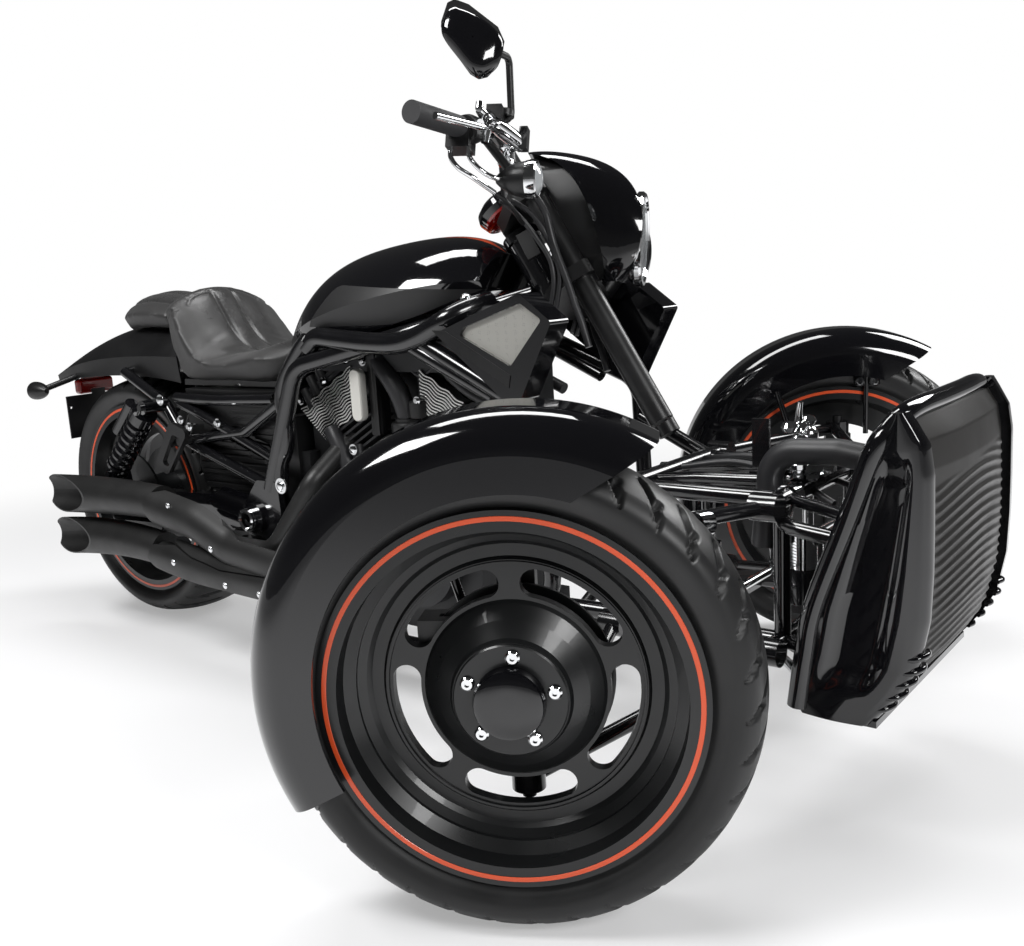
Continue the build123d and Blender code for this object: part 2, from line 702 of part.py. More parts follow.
def exhaust(cylinders):
    """Two slash-cut mufflers on the right, their feed pipes and the shields over them."""
    pipes = Part()
    facing = Vector(-sin(radians(MUFFLER_CUT)), cos(radians(MUFFLER_CUT)), 0)
    for table in (UPPER_MUFFLER, LOWER_MUFFLER):
        middle = Vector(table[2][0] - 12, MUFFLER_CUT_Y, table[2][2])
        slash = Plane(origin=middle, z_dir=facing) * Pos(0, 0, 200) * Box(700, 300, 400)
        hollow = muffler_form(table, MUFFLER_WALL) - rod((-400, table[0][1], 300), (0, table[0][1], 300), 180)
        pipes += muffler_form(table, 0) - hollow - slash
    x = UPPER_MUFFLER[0][0]
    front_feed = [(-90, CRANK_Y - 150, 560), (-200, CRANK_Y - 210, 480), (x, CRANK_Y - 190, 300), (x, CRANK_Y - 10, 228)]
    front_feed += run_points(LOWER_RUN[::-1][1:])
    rear_feed = [(-90, CRANK_Y + 160, 530), (-200, CRANK_Y + 175, 450), (x, CRANK_Y + 255, 300)]
    rear_feed += run_points(UPPER_RUN[::-1][2:])
    pipes += bent_tube(front_feed, HEADER_R, [50, 80, 80, 90, 90, 90, 90][:len(front_feed) - 2])
    pipes += bent_tube(rear_feed, HEADER_R, [50, 60, 70, 90, 90][:len(rear_feed) - 2])
    plate_x = -RAIL_X - 14 - SEAT_GAP
    hanger = rod((plate_x, PIVOT_Y - 33, 300), (x, PIVOT_Y - 33, 232), 9)
    hanger -= side_plate([(-800, 200), (-500, 200), (-500, 440), (-800, 440)], plate_x, 0)
    add("exhaust_pipes", (pipes + hanger) - cylinders)
    inner_r = MUFFLER_R + SHIELD_GAP
    inside = Part()
    outside = Part()
    for run in (UPPER_RUN, LOWER_RUN):
        bends = [120] * (len(run) - 2)
        inside += bent_tube(run_points(run), inner_r, bends)
        outside += bent_tube(run_points(run), inner_r + SHIELD_T, bends)
    skin = outside - inside
    shields = Part()
    for outline, run in ((UPPER_SHIELD, UPPER_RUN), (LOWER_SHIELD, LOWER_RUN)):
        shield = skin & side_plate(outline, x - 80, x - 12, 8)
        for y, z in (run[1], run[3]):
            shield += disc(7, x - inner_r - 1.0, x - HEADER_R / 2, y, z) - pipes
        shields += shield
    add("exhaust_shields", shields)


def foot_controls(struts, lower):
    """Passenger peg loops beside the shocks and the rider's pegs ahead of the engine."""
    loop = side_plate([(-400, 540), (-330, 560), (-250, 450), (-300, 430)], -216, -204, 14)
    loop -= side_plate([(-376, 520), (-336, 530), (-280, 456), (-306, 452)], -220, -200, 8)
    loop += disc(10, -206, -164, -345, 512) + disc(10, -206, -164, -312, 507)
    add("peg_brackets", both(loop - struts))
    peg = rod((-LOWER_RAIL_X, -1215, LOWER_RAIL_Z), (-330, -1215, 190), 14) - lower
    add("rider_pegs", both(peg))


def drive_belt():
    """Toothed belt as one fixed loop round both pulleys, on the left."""
    run = PULLEY_FRONT_R + SEAT_GAP
    loop_in = belt_face(PULLEY_REAR_R + SEAT_GAP, run)
    loop_out = belt_face(PULLEY_REAR_R + SEAT_GAP + BELT_T, run + BELT_T)
    belt = extrude(Plane.YZ * (loop_out - loop_in), BELT_W)
    add("drive_belt", Pos(BELT_X - BELT_W / 2, 0, 0) * belt)


def belt_face(rear, front):
    """Hull of the two pulley circles, as a face in (y, z)."""
    circles = [(0.0, REAR_TYRE_R, rear), (SHEAVE_Y, SHEAVE_Z, front)]
    (y1, z1, r1), (y2, z2, r2) = circles
    line_top = belt_line(circles, 1)
    line_low = belt_line(circles, -1)
    quad = make_face(Polyline(line_top[0], line_top[1], line_low[1], line_low[0], close=True))
    return Pos(y1, z1) * Circle(r1) + Pos(y2, z2) * Circle(r2) + quad


def belt_line(circles, sign):
    """Tangent points of the upper or lower straight run."""
    (y1, z1, r1), (y2, z2, r2) = circles
    span = Vector(y2 - y1, z2 - z1)
    lean = (r1 - r2) / span.length
    along = span.normalized()
    across = Vector(-along.Y, along.X) * sign
    normal = along * lean + across * (1 - lean ** 2) ** 0.5
    return [(y1 + normal.X * r1, z1 + normal.Y * r1), (y2 + normal.X * r2, z2 + normal.Y * r2)]




# Front end



def front_end():
    """Cross frame, control arms, centre damper tower, knuckles, tie rods and relay."""
    top_eye = AXLE_Z + UPRIGHT_HALF
    low_eye = AXLE_Z - UPRIGHT_HALF
    arms = Part()
    for eye_z, low, inner_z in ((top_eye, top_eye, TOP_ARM_Z), (low_eye, low_eye - ARM_EYE_H, LOW_ARM_Z)):
        wishbone = rod((-KINGPIN_X, FRONT_Y, low), (-KINGPIN_X, FRONT_Y, low + ARM_EYE_H), ARM_EYE_R)
        mid = low + ARM_EYE_H / 2
        for reach in (ARM_REAR_Y, ARM_FRONT_Y):
            wishbone += rod((-KINGPIN_X + 20, FRONT_Y, mid), (-ARM_IN_X, FRONT_Y + reach, inner_z), ARM_R - 3)
            wishbone += rod((-ARM_IN_X, FRONT_Y + reach - 22, inner_z), (-ARM_IN_X, FRONT_Y + reach + 22, inner_z), 22)
        wishbone -= rod((-KINGPIN_X, FRONT_Y, low - 30), (-KINGPIN_X, FRONT_Y, low + ARM_EYE_H + 30), BALL_PIN_R + PIN_CLEARANCE)
        arms += both(wishbone)
    subframe = Part()
    for reach in (ARM_REAR_Y, ARM_FRONT_Y):
        y = FRONT_Y + reach
        for inner_z in (TOP_ARM_Z, LOW_ARM_Z):
            subframe += rod((-ARM_IN_X + 22, y, inner_z), (ARM_IN_X - 22, y, inner_z), CROSS_R)
        subframe += both(rod((-POST_X, y, LOW_ARM_Z), (-POST_X, y, TOP_ARM_Z), CROSS_R - 3))
    for inner_z in (TOP_ARM_Z, LOW_ARM_Z):
        subframe += both(rod((-POST_X, FRONT_Y + ARM_REAR_Y, inner_z), (-POST_X, FRONT_Y + ARM_FRONT_Y, inner_z), CROSS_R - 2))
    lower = bent_tube(LOWER_RAIL, LOWER_RAIL_R, [60, 90, 90, 70])
    for inner_z, rail_z in ((TOP_ARM_Z, TOP_ARM_Z + 70), (LOW_ARM_Z, LOW_ARM_Z)):
        start = (-POST_X - 8, FRONT_Y + ARM_REAR_Y + 4, inner_z)
        back = rod(start, (-LOWER_RAIL_X, STEER_Y - 120, rail_z), CROSS_R - 1)
        subframe += both(back - lower)
    for inner_z, reach in ((TOP_ARM_Z, 20), (LOW_ARM_Z, 62)):
        start = (-POST_X + 20, FRONT_Y + ARM_FRONT_Y, inner_z)
        subframe += both(rod(start, (-SHROUD_HALF + 22, SHROUD_Y - 20 + reach, inner_z), 10))
    beam = block((2 * POST_X - 6, 44, 24), (0, FRONT_Y, LOW_ARM_Z))
    beam += rod((0, FRONT_Y, LOW_ARM_Z), (0, FRONT_Y, RELAY_LOW - SEAT_GAP), 20)
    beam += rod((0, FRONT_Y, LOW_ARM_Z), (0, FRONT_Y, TIE_LOW_Z + 46), TIE_PIN_R + 4)
    subframe += beam
    subframe += block((116, 130, 8), (0, TOWER_Y + 12, TOP_ARM_Z + CROSS_R + 3))
    subframe += block((60, 40, 12), (0, TOWER_Y, LOW_ARM_Z + CROSS_R - 4))
    add("control_arms", arms)
    front_tower(subframe)
    return subframe




def front_tower(subframe):
    """Centre damper under the top plate, with the polished dish and ball above it."""
    plate_top = TOP_ARM_Z + CROSS_R + 7 + SEAT_GAP
    low = LOW_ARM_Z + CROSS_R + 2
    steps = [
        # z from, z to, radius
        (low, AXLE_Z - 7, 20),
        (AXLE_Z - 7, AXLE_Z + 71, 25),
        (AXLE_Z + 71, TOP_ARM_Z + CROSS_R, 9),
    ]
    column = Part()
    for z_from, z_to, radius in steps:
        column += rod((0, TOWER_Y, z_from), (0, TOWER_Y, z_to), radius)
    top_steps = [(plate_top, plate_top + 8, 46), (plate_top + 8, plate_top + 14, 38), (plate_top + 14, plate_top + 20, 44), (plate_top + 20, plate_top + 44, 12)]
    for z_from, z_to, radius in top_steps:
        column += rod((0, TOWER_Y, z_from), (0, TOWER_Y, z_to), radius)
    column += Pos(0, TOWER_Y, plate_top + 54) * Sphere(18)
    add("front_tower", column - subframe)




def knuckles():
    """Uprights with stub axle, ball pins, steering arm and brake caliper."""
    top_eye = AXLE_Z + UPRIGHT_HALF
    low_eye = AXLE_Z - UPRIGHT_HALF
    face = HUB_BACK_A - 3.0
    upright_x = -WHEEL_X - face
    knuckle = Pos(-KINGPIN_X, FRONT_Y, AXLE_Z) * Box(26, 52, 2 * UPRIGHT_HALF - 1)
    knuckle += disc(44, upright_x, -KINGPIN_X + 13, FRONT_Y, AXLE_Z)
    knuckle += disc(SPINDLE_R, -WHEEL_X - 30, -KINGPIN_X, FRONT_Y, AXLE_Z)
    knuckle += rod((-KINGPIN_X, FRONT_Y, top_eye - 20), (-KINGPIN_X, FRONT_Y, top_eye + ARM_EYE_H + 12), BALL_PIN_R)
    knuckle += rod((-KINGPIN_X, FRONT_Y, low_eye + 20), (-KINGPIN_X, FRONT_Y, low_eye - ARM_EYE_H - 12), BALL_PIN_R)
    for side, name, level in ((-1, "right", 0), (1, "left", 1)):
        z = TIE_LOW_Z + level * (TIE_EYE_H + 4)
        arm = block((22, STEER_ARM, 16), (-KINGPIN_X + 4, FRONT_Y - STEER_ARM / 2, z - TIE_EYE_H / 2 - 8.5))
        arm += rod((-KINGPIN_X, FRONT_Y - STEER_ARM, z - TIE_EYE_H / 2 - 16.5), (-KINGPIN_X, FRONT_Y - STEER_ARM, z - TIE_EYE_H / 2 - 0.5), TIE_EYE_R)
        arm += rod((-KINGPIN_X, FRONT_Y - STEER_ARM, z - 20), (-KINGPIN_X, FRONT_Y - STEER_ARM, z + TIE_EYE_H / 2 + 6), TIE_PIN_R)
        caliper = Pos(-WHEEL_X - BRAKE_DISC_A, FRONT_Y + 108, AXLE_Z + 40) * Box(50, 44, 92)
        caliper -= disc(BRAKE_DISC_R + 5, -WHEEL_X - BRAKE_DISC_A - 6, -WHEEL_X - BRAKE_DISC_A + 6, FRONT_Y, AXLE_Z)
        caliper += block((12, 92, 40), (-KINGPIN_X - 5, FRONT_Y + 62, AXLE_Z + 40))
        lug = block((16, 26, 26), (-KINGPIN_X + 6, FRONT_Y + 70, AXLE_Z + 47))
        whole = knuckle + arm + caliper + lug
        placed = whole if side == -1 else mirror(whole, about=Plane.YZ)
        add(f"knuckle_{name}", kingpin_turned(placed, side))
        shell = Pos(side * WHEEL_X, FRONT_Y - FENDER_AHEAD, AXLE_Z + FENDER_RISE) * fender_shell(-28, 122)
        stay = rod((-STAY_X, FRONT_Y + 70, AXLE_Z + 47), (-STAY_X + 8, FRONT_Y + 130, AXLE_Z + 250), STAY_R)
        shell += stay if side == -1 else mirror(stay, about=Plane.YZ)
        add(f"fender_front_{name}", kingpin_turned(shell, side))
        tie_rod(side, name, z)
    relay()


def tie_rod(side, name, z):
    """Tie rod from the relay's pin to one steering arm, drawn straight and carried round."""
    outer = (side * KINGPIN_X, FRONT_Y - STEER_ARM)
    inner = (0, FRONT_Y - STEER_ARM)
    bar = rod((outer[0] - side * 10, outer[1], z), (inner[0] + side * 10, inner[1], z), TIE_ROD_R)
    for (x, y), bore in ((outer, TIE_PIN_R + PIN_CLEARANCE), (inner, TIE_PIN_R + OPEN_PIVOT_GAP)):
        bar += rod((x, y, z - TIE_EYE_H / 2), (x, y, z + TIE_EYE_H / 2), TIE_EYE_R)
        bar -= rod((x, y, z - TIE_EYE_H), (x, y, z + TIE_EYE_H), bore)
    swing = radians(STEER_STOP)
    shift = (STEER_ARM * sin(swing), STEER_ARM * (1 - cos(swing)))
    add(f"tie_rod_{name}", Pos(shift[0], shift[1], 0) * bar)


def relay():
    """Steering relay arm on a vertical post at the centre, with the pin of both tie rods."""
    low = RELAY_LOW
    pin_top = TIE_LOW_Z + TIE_EYE_H * 1.5 + 10
    arm = rod((0, FRONT_Y, low), (0, FRONT_Y, low + 36), 24)
    arm += block((30, STEER_ARM, 11), (0, FRONT_Y - STEER_ARM / 2, low + 5.5))
    arm += rod((0, FRONT_Y - STEER_ARM, low), (0, FRONT_Y - STEER_ARM, low + 11), TIE_EYE_R)
    arm += rod((0, FRONT_Y - STEER_ARM, low), (0, FRONT_Y - STEER_ARM, pin_top), TIE_PIN_R)
    arm -= rod((0, FRONT_Y, low - 5), (0, FRONT_Y, low + 60), TIE_PIN_R + 4 + PIN_CLEARANCE)
    add("steering_relay", arm.rotate(Axis((0, FRONT_Y, 0), (0, 0, 1)), STEER_STOP))




SHROUD_SIDE = [
    # y from the shroud's own origin, z
    (-37, 606), (-58, 634), (-106, 634), (-121, 586), (-66, 196), (-48, 176), (-24, 168), (83, 200),
]
SHROUD_SCOOP = [(-60, 586), (-90, 556), (-52, 262), (-22, 236), (14, 262)]
SHROUD_LEAN = (0, -58, 380)


def shifted(points, dy):
    """Side outline moved along y."""
    return [(y + dy, z) for y, z in points]


def shroud(subframe):
    """Radiator surround with scooped side panels and a tubular rim, the core and the ribbed nose."""
    bottom, top = 168, 646
    outline = shifted(SHROUD_SIDE, SHROUD_Y)
    panels = side_plate(outline, -SHROUD_HALF, SHROUD_SIDE_T - SHROUD_HALF, 12)
    panels -= side_plate(shifted(SHROUD_SCOOP, SHROUD_Y), -SHROUD_HALF - 1, -SHROUD_HALF + 22, 12)
    for index in range(5):
        z = 236 + 22 * index
        front = SHROUD_Y - 66 - (z - 196) * 0.141
        panels -= block((26, 14, 9), (-SHROUD_HALF + 10, front - 2, z))
    surround = both(panels)
    width = SHROUD_HALF - SHROUD_SIDE_T + 2
    surround += side_plate(shifted([(-30, 606), (-60, 634), (-104, 632), (-110, 610)], SHROUD_Y), -width, width)
    surround += side_plate(shifted([(65, 205), (65, 190), (-56, 178), (-60, 200)], SHROUD_Y), -width, width)
    face = fillet(Rectangle(2 * SHROUD_HALF, top - bottom).vertices().sort_by(Axis.Y)[-2:], 42)
    face = fillet(face.vertices().sort_by(Axis.Y)[:2], 60)
    frontal = extrude(Plane(origin=(0, SHROUD_Y + 120, (top + bottom) / 2), x_dir=(1, 0, 0), z_dir=(0, -1, 0)) * face, 300)
    surround &= frontal
    rim_x = SHROUD_HALF - SHROUD_RIM_R + 2
    rim_path = [(-rim_x, 78, 210), (-rim_x, -34, 604), (-rim_x + 34, -54, 638), (rim_x - 34, -54, 638), (rim_x, -34, 604), (rim_x, 78, 210)]
    rim_path = [(px, py + SHROUD_Y, pz) for px, py, pz in rim_path]
    surround += bent_tube(rim_path, SHROUD_RIM_R, [30, 30, 30, 30])
    add("radiator_shroud", surround)
    add("front_subframe", subframe - surround)
    rise = Vector(*SHROUD_LEAN)
    nose = extrude(Pos(0, SHROUD_Y, 212) * nose_face(0, 18), rise.length, dir=rise.normalized())
    ribs = extrude(Pos(0, SHROUD_Y, 212) * nose_face(-RIB_H, 6), rise.length, dir=rise.normalized())
    bars = Part()
    for index in range(RIB_COUNT):
        ring = Circle(620) - Circle(616)
        middle = 222 + 620 + RIB_PITCH * index
        bars += Plane(origin=(-60, SHROUD_Y - 200, middle), x_dir=(1, 0, 0), z_dir=(0, 1, 0)) * extrude(ring, 260)
    nose += ribs & bars & Pos(20, SHROUD_Y - 60, 395) * Box(2 * NOSE_HALF - 90, 300, 350)
    add("radiator_nose", nose - surround)
    flat = make_face(Polyline((-185, 12), (185, 12), (185, 48), (-185, 48), close=True))
    core = extrude(Pos(0, SHROUD_Y, 198) * flat, rise.length * 1.02, dir=rise.normalized())
    core = core - surround
    add("radiator_core", core)
    hose_x = -92
    hose = bent_tube(
        [
            (hose_x, SHROUD_Y - 5, 548),
            (hose_x, SHROUD_Y + 70, 560),
            (hose_x, SHROUD_Y + 178, 556),
            (hose_x, SHROUD_Y + 194, 400),
        ],
        21,
        [40, 50],
    )
    add("radiator_hose", hose - core)


def nose_face(front, depth):
    """Bowed strip seen from above; front moves its forward face and depth is its thickness."""
    edge, mid = -16 + front, -60 + front
    return make_face(
        ThreePointArc((-NOSE_HALF, edge), (0, mid), (NOSE_HALF, edge))
        + Line((NOSE_HALF, edge), (NOSE_HALF, edge + depth))
        + ThreePointArc((NOSE_HALF, edge + depth), (0, mid + depth), (-NOSE_HALF, edge + depth))
        + Line((-NOSE_HALF, edge + depth), (-NOSE_HALF, edge))
    )


def steering():
    """Fork legs with clamps and stem, bars, grips, controls, mirrors, lamp, cowl, signals."""
    low_clamp = NECK_LOW - CLAMP_GAP - CLAMP_T
    high_clamp = NECK_HIGH + CLAMP_GAP
    stem = rod(steer_point(0, 0, low_clamp), steer_point(0, 0, high_clamp + CLAMP_T), STEM_R)
    for level in (low_clamp, high_clamp):
        plane = Plane(origin=steer_point(0, 0, level), x_dir=(1, 0, 0), z_dir=STEM_DIR)
        outline = make_face(Polyline((-130, -24), (-130, -88), (130, -88), (130, -24), (36, 26), (-36, 26), close=True))
        stem += extrude(plane * fillet(outline.vertices(), 12), CLAMP_T)
    for side in (-1, 1):
        stem += rod(steer_point(side * LEG_LATERAL, LEG_FORWARD, LEG_BOTTOM), steer_point(side * LEG_LATERAL, LEG_FORWARD, LEG_TOP), LEG_R)
    add("fork_legs", steered(stem))
    bar = bent_tube([(-428, -1157, 994), (-292, -1203, 1021), (-190, -1225, 1058), (-60, -1213, 1078), (60, -1213, 1078), (190, -1225, 1058), (292, -1203, 1021), (428, -1157, 994)], BAR_R, [90, 60, 60, 60, 60, 90])
    for side in (-1, 1):
        bar += rod((side * 45, -1213, 1078), (side * 45, -1232, 940), 17)
    bar -= stem
    add("handlebar", steered(bar))
    start = Vector(-428, -1157, 994)
    run = (Vector(-292, -1203, 1021) - start).normalized()
    grip = rod(start - run * 5, start + run * GRIP_LENGTH, GRIP_R) - rod(start, start + run * 200, BAR_R + PIN_CLEARANCE)
    add("grips", steered(both(grip)))
    control = hand_control() - bar
    stalk_arm = mirror_arm() - control - bar
    add("hand_controls", steered(both(control)))
    add("mirrors", steered(both(stalk_arm)))
    add("front_signals", steered(both(front_signal() - control - bar)))
    lamp = rod((0, -1471, LAMP_Z), (0, -1396, LAMP_Z), LAMP_R - 6)
    lamp += rod((0, -1475, LAMP_Z), (0, -1461, LAMP_Z), LAMP_R)
    add("headlamp", steered(lamp - stem))
    shell = cowl_form(0) - cowl_form(COWL_WALL) - rod((0, -1520, LAMP_Z), (0, -1400, LAMP_Z), LAMP_R)
    shell -= stem + bar
    add("cowl", steered(shell))


COWL_SECTIONS = [
    # z, y of the rear edge, y of the front, half widths at the rear, middle and front
    (822, -1410, -1452, 62, 68, 56),
    (866, -1396, -1474, 84, 92, 84),
    (965, -1346, -1474, 96, 106, 90),
    (1030, -1292, -1424, 86, 94, 70),
    (1070, -1256, -1330, 52, 56, 44),
]


def cowl_form(wall):
    """Solid of the lamp cowl; a wall makes it the space inside, open at the rear."""
    sections = []
    last = len(COWL_SECTIONS) - 1
    for index, (z, rear, front, half_rear, half_mid, half_front) in enumerate(COWL_SECTIONS):
        back = rear + 12 * wall
        nose = front + wall
        middle = (rear + front) / 2
        rear_w, mid_w, front_w = half_rear - wall, half_mid - wall, half_front - wall
        face = make_face(
            Line((-rear_w, back), (rear_w, back))
            + ThreePointArc((rear_w, back), (mid_w, middle), (front_w, nose))
            + Line((front_w, nose), (-front_w, nose))
            + ThreePointArc((-front_w, nose), (-mid_w, middle), (-rear_w, back))
        )
        level = z + wall * ((index == 0) - (index == last))
        sections.append(Pos(0, 0, level) * face)
    return loft(sections)


def hand_control():
    """Switch housing, lever and its fluid or cable block, right side."""
    inner, outer = Vector(-214, -1219, 1048.5), Vector(-292, -1203, 1021)
    run = (outer - inner).normalized()
    housing = rod(inner + run * 10, outer - run * 4, 20)
    housing -= rod(inner, outer + run * 20, BAR_R + PIN_CLEARANCE)
    front = inner + Vector(-20, -30, 6)
    housing += rod(front, front + run * 52, 13)
    housing += rod(inner + run * 22 + Vector(0, -16, 2), front + run * 24, 9)
    lever = bent_tube([front + run * 46, Vector(-330, -1246, 1006), Vector(-436, -1196, 984)], 5.5, [40])
    return housing + lever


def mirror_arm():
    """Mirror head on a curved stem, right side."""
    foot, head_end = (-240, -1238, 1046), (-350, -1252, 1128)
    stem = bent_tube([foot, (-244, -1268, 1058), (-270, -1264, 1150), head_end], 6, [14, 14])
    outline = [
        (-1191, 1199), (-1214, 1193), (-1263, 1161), (-1275, 1138), (-1268, 1104),
        (-1252, 1084), (-1238, 1079), (-1224, 1086), (-1180, 1139), (-1172, 1160), (-1180, 1192),
    ]
    head = side_plate(outline, -362, -346, 4)
    head = head.rotate(Axis((-354, -1240, 1150), (0, 0, 1)), 18)
    return stem + head


def front_signal():
    """Bullet lamp facing forward under the bar, with its stalk, right side."""
    body = turned_bullet(30, 62).rotate(Axis.X, -90)
    body = Pos(-250, -1312, 948) * body.rotate(Axis.Z, 180)
    stalk = rod((-250, -1276, 960), (-252, -1214, 1034), 8)
    return body + stalk


def write():
    """Write one file per node."""
    os.makedirs("parts", exist_ok=True)
    for name, shape in NODES.items():
        export_step(Pos(0, BOX_SHIFT, 0) * shape, f"parts/{name}.step")


front_wheels()
rear_wheel()
swingarm()
rear_shocks()
upper_rails, lower_rails, seat_struts = frame()
engine_block, engine_barrels = engine()
covers(upper_rails, lower_rails, seat_struts)
seats()
rear_end()
exhaust(engine_barrels)
foot_controls(seat_struts, lower_rails)
drive_belt()
cross_frame = front_end()
knuckles()
shroud(cross_frame)
steering()
write()
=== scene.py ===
import json
import math
import bmesh
import bpy
import numpy as np
from mathutils import Matrix, Vector
from mathutils.bvhtree import BVHTree
from mathutils.kdtree import KDTree

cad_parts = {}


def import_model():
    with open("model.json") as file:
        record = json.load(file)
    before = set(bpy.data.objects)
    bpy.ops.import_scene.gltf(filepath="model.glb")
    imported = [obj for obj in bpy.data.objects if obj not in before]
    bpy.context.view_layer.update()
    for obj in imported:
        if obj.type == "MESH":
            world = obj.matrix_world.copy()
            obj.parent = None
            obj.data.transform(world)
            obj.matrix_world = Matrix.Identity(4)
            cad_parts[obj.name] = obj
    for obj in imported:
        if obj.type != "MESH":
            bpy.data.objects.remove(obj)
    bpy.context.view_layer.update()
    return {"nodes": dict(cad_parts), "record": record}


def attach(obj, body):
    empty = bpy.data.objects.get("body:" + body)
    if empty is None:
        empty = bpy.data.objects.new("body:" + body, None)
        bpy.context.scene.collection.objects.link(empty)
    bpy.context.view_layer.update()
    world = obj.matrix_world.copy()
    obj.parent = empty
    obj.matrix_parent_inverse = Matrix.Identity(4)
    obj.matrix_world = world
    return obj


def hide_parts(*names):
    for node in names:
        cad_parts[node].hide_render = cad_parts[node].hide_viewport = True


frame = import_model()

# Places are written as in the part's source: millimetres from the rear axle, and the
# whole machine is then moved back by SHIFT so that its box is centred.
SHIFT = 0.8595
FRONT_Y = -1640.0
KINGPIN_X = 570.0
WHEEL_X = 630.0
AXLE_Z = 325.0
STEER_TURN = math.radians(30.0)
RAKE = math.radians(32.0)
STEER_ORIGIN = np.array([0.0, -1275.0, 870.0])
STEM_DIR = np.array([0.0, math.sin(RAKE), math.cos(RAKE)])
SIDES = ((-1, "right"), (1, "left"))
UP = (0, 0, 1)


# Geometry helpers

def place(points):
    """Millimetres from the rear axle to metres in the row frame."""
    out = np.asarray(points, float) * 0.001
    out = out.reshape(-1, 3).copy()
    out[:, 1] += SHIFT
    return out


def turned(points, pivot, axis, angle):
    """Points turned about an axis through a pivot."""
    turn = np.array(Matrix.Rotation(angle, 3, Vector(axis)))
    pivot = np.asarray(pivot, float)
    return (np.asarray(points, float).reshape(-1, 3) - pivot) @ turn.T + pivot


def no_turn(points):
    return np.asarray(points, float).reshape(-1, 3)


def bar_turn(points):
    """Handlebar group points, written straight ahead, on the left steering stop."""
    return turned(points, STEER_ORIGIN, STEM_DIR, STEER_TURN)


def wheel_turn(side):
    """The same for the pieces of one front wheel."""
    return lambda points: turned(points, (side * KINGPIN_X, FRONT_Y, 0), UP, STEER_TURN)


def mirror(side, points):
    """Points written for the left side, put on the side asked for."""
    return [(side * x, y, z) for x, y, z in points]


def circle(first, second, sides):
    angles = np.arange(sides) * 2 * math.pi / sides
    return np.cos(angles)[:, None] * first + np.sin(angles)[:, None] * second


def step(value, start, run):
    """0 at the start, 1 after the run."""
    return np.clip((value - start) / run, 0, 1)


